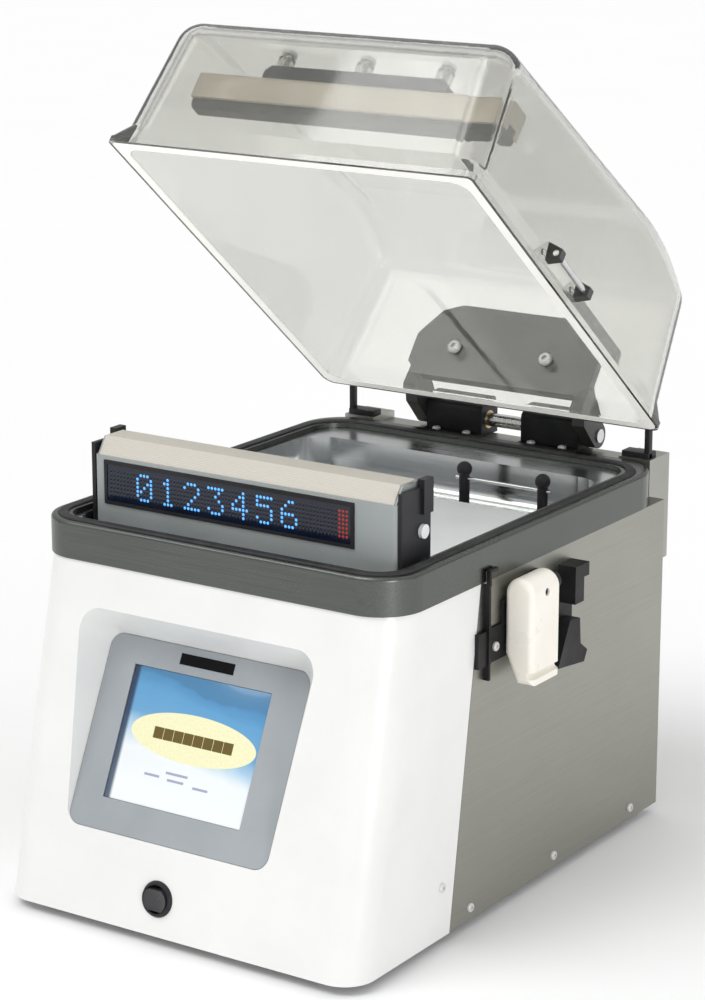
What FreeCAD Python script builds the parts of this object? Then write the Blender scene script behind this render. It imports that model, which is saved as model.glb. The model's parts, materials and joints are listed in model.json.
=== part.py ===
import FreeCAD, Part
import math
import os

# Desk-top chamber vacuum packing machine.  Millimetres, +Z up, front faces -Y.
# Everything is laid out about the middle of the chamber rim, with z = 0 at the
# bottom edge of the casing.  export() then moves it so that the origin is at the
# bottom centre of the whole machine, standing on its feet with the lid open.

V = FreeCAD.Vector

# Casing
HALF_W = 170.0
RIM_FRONT = -209.0
RIM_REAR = 209.0
RIM_TOP = 303.0
TRIM_H = 30.0
TRIM_PROUD = 1.2
CASE_TOP = RIM_TOP - TRIM_H
FRONT_STEP = 53.5
COVER_REAR_TOP = -88.5
COVER_REAR_FOOT = -130.0
COVER_WALL = 3.0
CORNER_TOP_R = 37.0
CORNER_FOOT_R = 26.0
REAR_CORNER_R = 42.0
SHEET = 1.5
GAP = 0.3
TRAY_TOP = 3.0
TRAY_SCREWS = [(y, 11.0) for y in (-100.0, 30.0, 160.0)]
COVER_SCREWS = [(-142.0, 42.0)]
REAR_SCREWS = [(x, z) for x in (-161.0, 161.0) for z in (60.0, 190.0)]

# Feet
FOOT_H = 8.0
FOOT_R = 16.0
FOOT_STEM_R = 5.0
FOOT_X = 138.0
FOOT_Y = (-205.0, 175.0)

# Control recess, set into the sloping front cover
PANEL_TILT = 24.7
PANEL_FOOT = V(0, -248.8, 70.0)
PANEL_U = (-112.0, 80.0)
PANEL_V = (0.0, 155.0)
PANEL_R = 12.0
BEZEL_T = 4.0
SCREEN_U = (-84.0, 48.0)
SCREEN_V = (26.0, 133.0)
WINDOW_U = (-43.0, 9.0)
WINDOW_V = (140.0, 149.0)

# Power switch, low on the front cover
SWITCH_X = -17.0
SWITCH_Z = 29.0
SWITCH_R = 14.5
ROCKER_R = 10.5
ROCKER_TILT = 7.0

# Chamber tub and rim
TUB_X = 151.0
TUB_Y = (-194.0, 148.0)
TUB_FLOOR = 262.0
TUB_R = 30.0
BAG_POSTS = [(x, 114.0) for x in (30.0, 106.0)]
FLANGE_Z = 297.3
RIM_OPEN_X = 153.5
RIM_OPEN_Y = (-195.5, 184.0)
GASKET_IN = 157.0
GASKET_W = 9.0
GASKET_TOP = RIM_TOP + 1.4

# Lid, described closed and then turned open about the hinge
LID_HALF = 169.5
LID_FRONT = -205.0
LID_REAR = 196.0
LID_RIM_Z = RIM_TOP + 2.0
LID_OPEN = 39.5
FLANGE_H = 5.0
FLARE_H = 19.0
FLANGE_R = 5.0
FLANGE_STEP = 1.5
LID_WALL = 9.5
DOME_H = 170.0
SIDE_LEAN = 0.09
REAR_LEAN = 0.05
DOME_FRONT_R = 24.0
DOME_REAR_R = 22.0
ROOF_R = 24.0
ROOF_INNER_R = 12.0
ROOF_FRONT_H = 123.5
ROOF_TOP = (82.5, 146.0)
ROOF_END = (192.75, 120.0)
ROOF_SLOPE = (ROOF_TOP[1] - ROOF_FRONT_H) / (ROOF_TOP[0] - LID_FRONT)

# Hinge
HINGE = V(0, 237.0, 311.0)
SHAFT_R = 6.0
SHAFT_HALF = 92.0
BUSH_R = 8.0
RUNNING = 0.05
BLOCK_X = (20.0, 77.0)
BLOCK_HALF = 13.5
BLOCK_TOP = 14.5
EARS = ((20.0, 25.0), (72.0, 77.0))
SPRING_SPAN = (27.0, 70.0)
SPRING_R = 10.5
SPRING_WIRE = 2.15
ARM = (78.5, 90.5)
ARM_R = 11.0
ARM_FOOT = LID_RIM_Z + 9.0
PLATE_FOOT = LID_RIM_Z + 19.0
PLATE_TOP = LID_RIM_Z + 89.0
PLATE_T = 8.0
PLATE_SIDE = [(80.0, 0), (92.0, 11.0), (92.0, 38.0), (74.0, 63.0), (56.0, PLATE_TOP - PLATE_FOOT)]
HINGE_BOLTS = [(-46.0, 350.0), (46.0, 350.0)]
HOUSING_X = 155.0
HOUSING_REAR = 249.0
HOUSING_Z = (212.0, 297.5)
HOUSING_END = (125.0, 304.0)

# Seal bar, standing across the front of the chamber
SEAL_HALF = 143.0
SEAL_Y = (-165.0, -123.0)
SEAL_Z = (274.0, 347.0)
SEAL_CORE_TOP = 360.0
PIN_X = 112.0
PIN_Y = -144.0
PIN_R = 6.0
DISPLAY_X = (-133.0, 105.0)
DISPLAY_Z = (308.0, 344.0)

# Press bar in the lid, above the seal bar
PRESS_HALF = 143.0
PRESS_Y = (-160.0, -136.0)
PRESS_H = (71.0, 94.5)
PRESS_PAD_H = 63.5
RAIL_HALF = 86.0
RAIL_H = 13.0
PRESS_MID = sum(PRESS_Y) / 2
PRESS_BOLTS = (-75.0, 0.0, 75.0)

# Side latch
LATCH_PIN = V(186.0, 0, 258.0)
LATCH_Y = (-58.5, -15.5)
LATCH_R = 13.0
LATCH_TAIL = 72.0
LATCH_PIN_R = 3.0
LUG_Y = (-14.5, -5.0)
KEEPER_ROD_X = 175.5
KEEPER_Z = 322.0
KEEPER_ROD_R = 2.5
KEEPER_LUGS = (-66.0, -8.0)

# Drive and services inside the casing
VALVE_Z = 245.0
PUMP_X = -82.0
PUMP_Z = 86.0
PUMP_R = 52.0
PUMP_Y = (62.0, 178.0)
MOTOR_Y = (-72.0, 58.0)
FAN_Y = (-106.0, -84.0)
FAN_R = 46.0
MIST_FILTER = (98.0, 148.0)
INLET = (-120.0, 40.0)
EXHAUST = (-82.0, 150.0)
FAN_GRILLE = (90.0, 120.0)
BOARD_Z = 12.0

# The machine's box, lid open, in the layout above: used only to centre it
SCREW_HEAD_H = 2.4
BOX_X = (-HALF_W - SCREW_HEAD_H, LATCH_PIN.x + LATCH_R)
BOX_Y = (RIM_FRONT - FRONT_STEP, 270.1)


def box(x0, y0, z0, x1, y1, z1):
    return Part.makeBox(x1 - x0, y1 - y0, z1 - z0, V(x0, y0, z0))


def rod(start, end, radius):
    axis = end.sub(start)
    return Part.makeCylinder(radius, axis.Length, start, axis)


def tube(start, end, outer, inner):
    return rod(start, end, outer).cut(rod(start, end, inner))


def face_of(points):
    return Part.Face(Part.makePolygon(points + [points[0]]))


def prism_x(outline, x0, x1):
    """Extrude a (y, z) outline along X."""
    return face_of([V(x0, y, z) for y, z in outline]).extrude(V(x1 - x0, 0, 0))


def prism_y(outline, y0, y1):
    """Extrude an (x, z) outline along Y."""
    return face_of([V(x, y0, z) for x, z in outline]).extrude(V(0, y1 - y0, 0))


def corner_arc(cx, cy, r, start_deg, z):
    """A quarter arc about (cx, cy), turning anticlockwise from start_deg."""
    marks = [math.radians(start_deg + turn) for turn in (0, 45, 90)]
    points = [V(cx + r * math.cos(a), cy + r * math.sin(a), z) for a in marks]
    return Part.Arc(*points).toShape()


def rounded_wire(x0, x1, y0, y1, r_front, r_rear, z):
    """A rectangle in plan with round corners; a rear radius of 0 leaves them square."""
    front_left = corner_arc(x0 + r_front, y0 + r_front, r_front, 180, z)
    front_right = corner_arc(x1 - r_front, y0 + r_front, r_front, 270, z)
    if r_rear:
        rear_right = corner_arc(x1 - r_rear, y1 - r_rear, r_rear, 0, z)
        rear_left = corner_arc(x0 + r_rear, y1 - r_rear, r_rear, 90, z)
        arcs = [front_left, front_right, rear_right, rear_left]
        ends = [(a.firstVertex().Point, a.lastVertex().Point) for a in arcs]
    else:
        arcs = [front_left, front_right]
        ends = [(a.firstVertex().Point, a.lastVertex().Point) for a in arcs]
        ends += [(V(x1, y1, z), V(x1, y1, z)), (V(x0, y1, z), V(x0, y1, z))]
    edges = []
    for index, (_, finish) in enumerate(ends):
        if index < len(arcs):
            edges.append(arcs[index])
        start_next = ends[(index + 1) % len(ends)][0]
        edges.append(Part.makeLine(finish, start_next))
    return Part.Wire(edges)


def rounded_block(x0, x1, y0, y1, z0, z1, r_front, r_rear=None):
    rear = r_front if r_rear is None else r_rear
    wire = rounded_wire(x0, x1, y0, y1, r_front, rear, z0)
    return Part.Face(wire).extrude(V(0, 0, z1 - z0))


def ring_block(outer, inner, z0, z1):
    """A flat ring between two rounded rectangles (x0, x1, y0, y1, r_front, r_rear)."""
    solid = rounded_block(*outer[:4], z0, z1, *outer[4:])
    hole = rounded_block(*inner[:4], z0 - 1, z1 + 1, *inner[4:])
    return solid.cut(hole)


def mirrored(shape):
    return shape.mirror(V(0, 0, 0), V(1, 0, 0))


def both_sides(shape):
    return Part.makeCompound([shape, mirrored(shape)])


def fuse_all(shapes):
    return shapes[0].multiFuse(shapes[1:]).removeSplitter()


def screw(seat, out, head_r=3.8, head_h=SCREW_HEAD_H, shank_r=2.0, length=9.0):
    """A button-head screw: seat is the point under its head, out points at the head."""
    unit = V(out).normalize()
    head = Part.makeCylinder(head_r, head_h, seat, unit)
    rim = head.Edges[0]
    for edge in head.Edges:
        if edge.Closed and edge.CenterOfMass.sub(seat).dot(unit) > head_h / 2:
            rim = edge
    head = head.makeFillet(head_h * 0.6, [rim])
    shank = Part.makeCylinder(shank_r, length, seat, unit * -1)
    socket = Part.makeCylinder(head_r * 0.4, head_h, seat + unit * (head_h * 0.4), unit)
    return head.fuse(shank).cut(socket)


def screw_hole(seat, out, radius=2.2, length=14.0):
    unit = V(out).normalize()
    return Part.makeCylinder(radius, length, seat + unit, unit * -1)


def drill(shape, seats, out, radius=2.2, length=14.0):
    for seat in seats:
        shape = shape.cut(screw_hole(seat, out, radius, length))
    return shape


def pipe(points, radius, bend):
    """A round hose along straight runs joined by tangent arcs."""
    edges = []
    here = points[0]
    for before, corner, after in zip(points, points[1:], points[2:]):
        way_in = (corner - before).normalize()
        way_out = (after - corner).normalize()
        half_turn = way_in.getAngle(way_out) / 2
        cut_back = bend * math.tan(half_turn)
        start = corner - way_in * cut_back
        finish = corner + way_out * cut_back
        inward = (way_out - way_in).normalize()
        middle = corner + inward * (bend / math.cos(half_turn) - bend)
        edges.append(Part.makeLine(here, start))
        edges.append(Part.Arc(start, middle, finish).toShape())
        here = finish
    edges.append(Part.makeLine(here, points[-1]))
    path = Part.Wire(edges)
    circle = Part.makeCircle(radius, points[0], points[1] - points[0])
    return path.makePipeShell([Part.Wire(circle)], True, True)


def opened(shape):
    """Turn a lid part from its closed place to its open, rest place."""
    turned = shape.copy()
    turned.rotate(HINGE, V(1, 0, 0), -LID_OPEN)
    return turned


def export(name, shape):
    placed = shape.copy()
    shift = V(-sum(BOX_X) / 2, -sum(BOX_Y) / 2, FOOT_H)
    placed.translate(shift)
    placed.exportStep("parts/" + name + ".step")


# ---------------------------------------------------------------- casing

def front_y(z):
    """The front cover's outer face at height z."""
    return RIM_FRONT - FRONT_STEP * (1 - z / CASE_TOP)


def cover_rear_y(z):
    return COVER_REAR_FOOT + (COVER_REAR_TOP - COVER_REAR_FOOT) * z / CASE_TOP


def cover_form(inset):
    wires = []
    for z, radius in ((0.0, CORNER_FOOT_R), (CASE_TOP, CORNER_TOP_R)):
        half = HALF_W - inset
        front = front_y(z) + inset
        wires.append(rounded_wire(-half, half, front, cover_rear_y(z), radius - inset, 0, z))
    return Part.makeLoft(wires, True, True)


def on_panel(shape):
    """Place a shape drawn in the control panel's own plane (u, v, outward)."""
    placed = shape.copy()
    placed.rotate(V(0, 0, 0), V(1, 0, 0), 90 - PANEL_TILT)
    placed.translate(PANEL_FOOT)
    return placed


def panel_block(margin, w0, w1):
    return rounded_block(PANEL_U[0] - margin, PANEL_U[1] + margin, PANEL_V[0] - margin,
                         PANEL_V[1] + margin, w0, w1, PANEL_R + margin)


def recess_form(margin, floor):
    """The flared pocket in front of the control panel, grown by a margin."""
    depth = 60.0
    near = rounded_wire(PANEL_U[0] - margin, PANEL_U[1] + margin, PANEL_V[0] - margin,
                        PANEL_V[1] + margin, PANEL_R + margin, PANEL_R + margin, 0)
    far = rounded_wire(PANEL_U[0] - 11 - margin, PANEL_U[1] + 40 + margin,
                       PANEL_V[0] - 6 - margin, PANEL_V[1] + 19 + margin,
                       2 * PANEL_R + margin, 2 * PANEL_R + margin, depth)
    flare = Part.makeLoft([near, far], True, True)
    return on_panel(flare.fuse(panel_block(margin, floor, 0)))


def front_cover():
    outer = cover_form(0)
    shell = outer.cut(cover_form(COVER_WALL))
    pan = recess_form(COVER_WALL, -BEZEL_T - COVER_WALL).common(outer)
    shell = shell.fuse(pan).cut(recess_form(0, -BEZEL_T))
    window = box(SCREEN_U[0] + 4, SCREEN_V[0] + 4, -12, SCREEN_U[1] - 4, SCREEN_V[1] - 4, 0)
    shell = shell.cut(on_panel(window))
    shell = shell.cut(on_switch(rod(V(0, 0, -30), V(0, 0, 5), SWITCH_R - 2.2)))
    shell = drill(shell, side_points(COVER_SCREWS, 1), V(1, 0, 0))
    return drill(shell, side_points(COVER_SCREWS, -1), V(-1, 0, 0)).removeSplitter()


def side_points(places, side):
    return [V(side * HALF_W, y, z) for y, z in places]


def side_panel():
    """The right-hand steel side; the left one is its mirror image with louvres."""
    outline = [(cover_rear_y(0.5) + 0.5, 0.5), (RIM_REAR - 0.2, 0.5),
               (RIM_REAR - 0.2, CASE_TOP - GAP), (cover_rear_y(CASE_TOP) + 0.5, CASE_TOP - GAP)]
    plate = prism_x(outline, HALF_W - SHEET, HALF_W)
    flange = box(HALF_W - 14, RIM_REAR - 2 * SHEET - 0.4, 20, HALF_W - SHEET + 0.1,
                 RIM_REAR - SHEET - 0.4, CASE_TOP - 3)
    top = CASE_TOP - GAP
    gusset = box(HALF_W - REAR_CORNER_R, RIM_REAR - REAR_CORNER_R, top - SHEET,
                 HALF_W - SHEET + 0.1, RIM_REAR - SHEET - 0.4, top)
    plate = fuse_all([plate, flange, gusset])
    plate = drill(plate, rear_points([s for s in REAR_SCREWS if s[0] > 0]), V(0, 1, 0))
    return drill(plate, side_points(TRAY_SCREWS, 1), V(1, 0, 0))


def left_side_panel():
    plate = mirrored(side_panel())
    for row in range(8):
        z = 70.0 + 14.0 * row
        plate = plate.cut(box(-HALF_W - 1, -20, z, -HALF_W + SHEET + 1, 60, z + 5))
    return plate


def right_side_panel():
    return drill(side_panel(), latch_screw_seats(), V(1, 0, 0))


def rear_points(places):
    return [V(x, RIM_REAR, z) for x, z in places]


def rear_panel():
    plate = box(-HALF_W + SHEET + GAP, RIM_REAR - SHEET, 0.5, HALF_W - SHEET - GAP, RIM_REAR,
                CASE_TOP - GAP)
    for row in range(9):
        z = FAN_GRILLE[1] - 48 + 11.0 * row
        plate = plate.cut(box(FAN_GRILLE[0] - 45, RIM_REAR - 5, z, FAN_GRILLE[0] + 45,
                              RIM_REAR + 5, z + 5))
    plate = plate.cut(box(INLET[0] - 14.2, 200, INLET[1] - 10.2, INLET[0] + 14.2, 220,
                          INLET[1] + 10.2))
    plate = plate.cut(rod(V(EXHAUST[0], 200, EXHAUST[1]), V(EXHAUST[0], 220, EXHAUST[1]), 8.3))
    return drill(plate, rear_points(REAR_SCREWS), V(0, 1, 0))


def base_tray():
    half = HALF_W - SHEET - 0.2
    front = front_y(0) + COVER_WALL + 5
    floor = rounded_block(-half + 2.5, half - 2.5, front, RIM_REAR - SHEET - 0.3, 1.0, TRAY_TOP,
                          CORNER_FOOT_R, 0)
    rear = box(-half + 16, RIM_REAR - 2 * SHEET - 2.3, 1.0, half - 16, RIM_REAR - SHEET - 0.3, 18)
    side = box(half - SHEET, cover_rear_y(18) + 5, 1.0, half, 190, 18)
    side = side.fuse(box(half - 12, cover_rear_y(18) + 5, 1.0, half, 190, TRAY_TOP))
    lip_half = half - CORNER_FOOT_R - 4
    lip = box(-lip_half, front, 1.0, lip_half, front + SHEET, 14)
    tray = fuse_all([floor, rear, side, mirrored(side), lip])
    for seat in foot_seats():
        tray = tray.cut(rod(seat + V(0, 0, -2), seat + V(0, 0, 8), FOOT_STEM_R + 0.2))
    tray = drill(tray, side_points(TRAY_SCREWS, 1), V(1, 0, 0))
    return drill(tray, side_points(TRAY_SCREWS, -1), V(-1, 0, 0))


def foot_seats():
    return [V(sx * FOOT_X, y, 1.0) for sx in (-1, 1) for y in FOOT_Y]


def rubber_feet():
    """Four push-in feet: each stem goes up through the tray."""
    feet = []
    for seat in foot_seats():
        base = seat + V(0, 0, -1.0 - FOOT_H)
        foot = Part.makeCone(FOOT_R - 2.5, FOOT_R, FOOT_H + 1.0, base)
        recess = rod(base, base + V(0, 0, 3.5), 6.0)
        stem = rod(seat, seat + V(0, 0, 6), FOOT_STEM_R)
        feet.append(foot.fuse(stem).cut(recess))
    return Part.makeCompound(feet)


def screw_group(seats, out, **sizes):
    return Part.makeCompound([screw(seat, out, **sizes) for seat in seats])


def case_screws():
    groups = [screw_group(side_points(TRAY_SCREWS, 1), V(1, 0, 0), length=6.0),
              screw_group(side_points(TRAY_SCREWS, -1), V(-1, 0, 0), length=6.0),
              screw_group(side_points(COVER_SCREWS, 1), V(1, 0, 0), length=6.0),
              screw_group(side_points(COVER_SCREWS, -1), V(-1, 0, 0), length=6.0),
              screw_group(rear_points(REAR_SCREWS), V(0, 1, 0), length=4.0),
              screw_group(latch_screw_seats(), V(1, 0, 0), length=7.0),
              screw_group(hinge_screw_seats(), V(0, 0, 1), length=8.0)]
    return Part.makeCompound(groups)


def rim_outline(grow, z0, z1):
    half = HALF_W + TRIM_PROUD + grow
    return rounded_block(-half, half, RIM_FRONT - TRIM_PROUD - grow, RIM_REAR + grow, z0, z1,
                         CORNER_TOP_R + grow, REAR_CORNER_R + grow)


def gasket_ring(width, z0, z1):
    inner = (-GASKET_IN, GASKET_IN, RIM_OPEN_Y[0] - 1, RIM_OPEN_Y[1] + 2.5, 24.0, 32.0)
    outer = (inner[0] - width, inner[1] + width, inner[2] - width, inner[3] + width,
             inner[4] + width, inner[5] + width)
    return ring_block(outer, inner, z0, z1)


def rim_trim():
    """The metal band round the top, with the flange that carries the gasket."""
    band = rim_outline(0, CASE_TOP, RIM_TOP)
    top_edges = [e for e in band.Edges if e.BoundBox.ZMin > RIM_TOP - 0.01]
    band = band.makeFillet(3.0, top_edges)
    band = band.cut(rim_outline(-3.0, CASE_TOP - 1, RIM_TOP - 4.0))
    opening = rounded_block(-RIM_OPEN_X, RIM_OPEN_X, *RIM_OPEN_Y, CASE_TOP, RIM_TOP + 1, 22, 30)
    band = band.cut(opening)
    groove = gasket_ring(GASKET_W, RIM_TOP - 2.5, RIM_TOP + 5)
    return band.cut(groove)


def lid_gasket():
    ring = gasket_ring(GASKET_W - 0.4, RIM_TOP - 2.5, GASKET_TOP)
    top = [e for e in ring.Edges if e.BoundBox.ZMin > GASKET_TOP - 0.01]
    return ring.makeFillet(1.5, top)


def hinge_housing():
    front = RIM_REAR + 0.2
    outer = box(-HOUSING_X, front, HOUSING_Z[0], HOUSING_X, HOUSING_REAR, HOUSING_Z[1])
    end = box(HOUSING_END[0], front, HOUSING_Z[1] - 5, HOUSING_X, HOUSING_REAR, HOUSING_END[1])
    outer = fuse_all([outer, end, mirrored(end)])
    soft = [e for e in outer.Edges if e.BoundBox.YMin > HOUSING_REAR - 0.01]
    outer = outer.makeFillet(6.0, soft)
    inner = box(-HOUSING_X + 2, RIM_REAR - 1, HOUSING_Z[0] + 2, HOUSING_X - 2, HOUSING_REAR - 2,
                HOUSING_Z[1] - 3)
    shell = outer.cut(inner)
    return drill(shell, hinge_screw_seats(), V(0, 0, 1))


# ---------------------------------------------------------------- front controls

def control_bezel():
    plate = panel_block(-0.4, -BEZEL_T, -0.2)
    screen = box(SCREEN_U[0], SCREEN_V[0], -10, SCREEN_U[1], SCREEN_V[1], 5)
    window = box(WINDOW_U[0], WINDOW_V[0], -10, WINDOW_U[1], WINDOW_V[1], 5)
    plate = plate.cut(screen).cut(window)
    return on_panel(plate)


def inset_box(u, v, gap, w0, w1):
    return box(u[0] + gap, v[0] + gap, w0, u[1] - gap, v[1] - gap, w1)


def touch_screen():
    return on_panel(inset_box(SCREEN_U, SCREEN_V, 0.3, -3.2, -0.8))


def display_module():
    return on_panel(inset_box(SCREEN_U, SCREEN_V, 5.0, -22.0, -3.2))


def status_window():
    return on_panel(inset_box(WINDOW_U, WINDOW_V, 0.3, -BEZEL_T, -0.6))


def on_switch(shape):
    """Place a shape drawn about the power switch's axis, +Z pointing out of the cover."""
    lean = math.degrees(math.atan(FRONT_STEP / CASE_TOP))
    placed = shape.copy()
    placed.rotate(V(0, 0, 0), V(1, 0, 0), 90 - lean)
    placed.translate(V(SWITCH_X, front_y(SWITCH_Z), SWITCH_Z))
    return placed


def power_switch_bezel():
    flange = Part.makeCone(SWITCH_R, SWITCH_R - 1.5, 2.5, V(0, 0, 0.1))
    barrel = rod(V(0, 0, -22), V(0, 0, 0.1), SWITCH_R - 2.4)
    pocket = rod(V(0, 0, -8), V(0, 0, 5), ROCKER_R + 0.8)
    return on_switch(flange.fuse(barrel).cut(pocket))


def power_rocker():
    body = rod(V(0, 0, -6.2), V(0, 0, 4.0), ROCKER_R)
    dish = Part.makeSphere(34.0, V(0, 0, 36.4))
    body = body.common(box(-20, -8.6, -10, 20, 8.6, 10)).cut(dish)
    body.rotate(V(0, 0, -2), V(1, 0, 0), ROCKER_TILT)
    return on_switch(body)


# ---------------------------------------------------------------- chamber

def tub_form(shrink, z0, z1):
    return rounded_block(-TUB_X + shrink, TUB_X - shrink, TUB_Y[0] + shrink, TUB_Y[1] - shrink,
                         z0, z1, TUB_R - shrink)


def soften_foot(shape, z, radius):
    foot = [e for e in shape.Edges if e.BoundBox.ZMax < z + 0.01]
    return shape.makeFillet(radius, foot)


def chamber_tub():
    """A drawn stainless tray hung from its flange."""
    flange = rounded_block(-165, 165, -204, 200, FLANGE_Z, FLANGE_Z + SHEET, 30, 34)
    outer = soften_foot(tub_form(0, TUB_FLOOR, FLANGE_Z + SHEET), TUB_FLOOR, 12.0)
    inner = soften_foot(tub_form(SHEET, TUB_FLOOR + SHEET, FLANGE_Z + 9), TUB_FLOOR + SHEET, 10.5)
    tub = flange.fuse(outer).cut(inner)
    for x in (-PIN_X, PIN_X):
        tub = tub.cut(rod(V(x, PIN_Y, TUB_FLOOR - 2), V(x, PIN_Y, TUB_FLOOR + 5), 4.0))
    return tub.cut(rod(V(60, 120, TUB_FLOOR - 2), V(60, 120, TUB_FLOOR + 5), 8.2))


def filler_plate():
    """The white plate that fills the tub's floor; it lifts out for cleaning."""
    z0 = TUB_FLOOR + SHEET + 0.5
    plate = rounded_block(-136, 136, -108, 92, z0, z0 + 14, 16)
    top = [e for e in plate.Edges if e.BoundBox.ZMin > z0 + 13.9]
    plate = plate.makeFillet(3.0, top)
    for x in (-122.0, 122.0):
        plate = plate.cut(rod(V(x, -8, z0 - 1), V(x, -8, z0 + 20), 8.0))
    return plate


def bag_stop_posts():
    posts = []
    for x, y in BAG_POSTS:
        foot = V(x, y, TUB_FLOOR + SHEET)
        post = rod(foot, foot + V(0, 0, 36), 4.5)
        post = post.fuse(rod(foot, foot + V(0, 0, 4), 9.0))
        post = post.fuse(Part.makeSphere(6.5, foot + V(0, 0, 36)))
        hole = rod(V(x - 20, y, foot.z + 28), V(x + 20, y, foot.z + 28), 1.6)
        posts.append(post.cut(hole))
    return Part.makeCompound(posts)


def bag_stop_rod():
    z = TUB_FLOOR + SHEET + 28
    return rod(V(BAG_POSTS[0][0] - 8, BAG_POSTS[0][1], z), V(BAG_POSTS[1][0] + 8, 114.0, z), 1.6)


def suction_port():
    top = V(60, 120, TUB_FLOOR + SHEET)
    grille = rod(top, top + V(0, 0, 2.5), 13.0)
    stem = rod(top + V(0, 0, -22), top, 8.0)
    port = grille.fuse(stem).cut(rod(top + V(0, 0, -30), top + V(0, 0, 0.8), 5.5))
    for k in range(6):
        turn = math.radians(60 * k)
        spot = top + V(3.4 * math.cos(turn), 3.4 * math.sin(turn), -2)
        port = port.cut(rod(spot, spot + V(0, 0, 9), 1.1))
    return port


def guide_pins():
    pins = []
    for x in (-PIN_X, PIN_X):
        foot = V(x, PIN_Y, TUB_FLOOR + SHEET)
        pin = rod(foot, foot + V(0, 0, 62), PIN_R)
        pin = pin.fuse(rod(foot, foot + V(0, 0, 3), 10.0))
        pins.append(pin.fuse(rod(foot + V(0, 0, -12), foot, 3.8)))
    return Part.makeCompound(pins)


def lift_bladders():
    bladders = []
    for x in (-62.0, 62.0):
        foot = V(x, PIN_Y, TUB_FLOOR + SHEET)
        bladder = rod(foot, foot + V(0, 0, 9.5), 17.0)
        rims = [e for e in bladder.Edges if e.Closed and e.BoundBox.ZLength < 0.01]
        bladders.append(bladder.makeFillet(3.0, rims))
    return Part.makeCompound(bladders)


# ---------------------------------------------------------------- seal bar

def seal_housing():
    y0, y1 = SEAL_Y
    z0, z1 = SEAL_Z
    body = box(-SEAL_HALF, y0, z0, SEAL_HALF, y1, z1)
    front = [e for e in body.Edges if e.BoundBox.YMax < y0 + 0.01 and e.BoundBox.XLength < 1]
    body = body.makeFillet(4.0, front)
    pocket = box(DISPLAY_X[0], y0 - 1, DISPLAY_Z[0], DISPLAY_X[1], y0 + 7, DISPLAY_Z[1])
    body = body.cut(pocket)
    for x in (-PIN_X, PIN_X):
        body = body.cut(rod(V(x, PIN_Y, z0 - 1), V(x, PIN_Y, z0 + 66), PIN_R + RUNNING))
        body = body.cut(rod(V(x, PIN_Y, z0 - 1), V(x, PIN_Y, z0 + 2), 11.0))
    return body


def seal_outline(grow):
    y0, y1 = SEAL_Y
    z1 = SEAL_Z[1]
    top = SEAL_CORE_TOP + grow
    return [(y0 + 2 - grow, z1), (y1 - 2 + grow, z1), (y1 - 11 + grow, top), (y0 + 11 - grow, top)]


def seal_bar_core():
    core = prism_x(seal_outline(0), -SEAL_HALF + 2, SEAL_HALF - 2)
    return core.cut(box(-SEAL_HALF, PIN_Y - 4, SEAL_CORE_TOP - 0.6, SEAL_HALF, PIN_Y + 4, 400))


def heating_wire():
    z1 = SEAL_CORE_TOP
    return box(-SEAL_HALF + 2, PIN_Y - 3.7, z1 - 0.6, SEAL_HALF - 2, PIN_Y + 3.7, z1)


def seal_tape():
    outer = prism_x(seal_outline(0.7), -SEAL_HALF + 4, SEAL_HALF - 4)
    return outer.cut(prism_x(seal_outline(0), -SEAL_HALF, SEAL_HALF))


def seal_end_caps():
    x0 = SEAL_HALF
    cap = box(x0, SEAL_Y[0] + 1, SEAL_Z[0] + 6, x0 + 3.5, SEAL_Y[1] - 1, SEAL_CORE_TOP - 4)
    ear = box(x0, SEAL_Y[1] - 14, SEAL_Z[1] - 12, x0 + 6.0, SEAL_Y[1] - 1, SEAL_CORE_TOP + 2)
    return both_sides(cap.fuse(ear).removeSplitter())


def wire_terminals():
    x0 = SEAL_HALF + 3.5
    peg = rod(V(x0, PIN_Y + 8, 322), V(x0 + 3.0, PIN_Y + 8, 322), 5.5)
    return both_sides(peg)


def display_frame():
    y0 = SEAL_Y[0]
    x0, x1 = DISPLAY_X
    z0, z1 = DISPLAY_Z
    frame = box(x0 + 0.2, y0 - 1.2, z0 + 0.2, x1 - 0.2, y0 + 6.8, z1 - 0.2)
    return frame.cut(box(x0 + 3.2, y0 - 2, z0 + 3.2, x1 - 3.2, y0 + 1.0, z1 - 3.2))


def display_lens():
    y0 = SEAL_Y[0]
    return box(DISPLAY_X[0] + 3.4, y0 - 0.6, DISPLAY_Z[0] + 3.4, DISPLAY_X[1] - 3.4, y0 + 1.0,
               DISPLAY_Z[1] - 3.4)


# ---------------------------------------------------------------- lid

def lid_outline(inset, lean_h):
    """The dome's wall in plan, at a height above the rim."""
    half = LID_HALF - FLANGE_STEP - inset - SIDE_LEAN * lean_h
    rear = LID_REAR - FLANGE_STEP - inset - REAR_LEAN * lean_h
    return rounded_wire(-half, half, LID_FRONT + FLANGE_STEP + inset, rear, DOME_FRONT_R - inset,
                        DOME_REAR_R - inset, LID_RIM_Z + lean_h)


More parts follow.
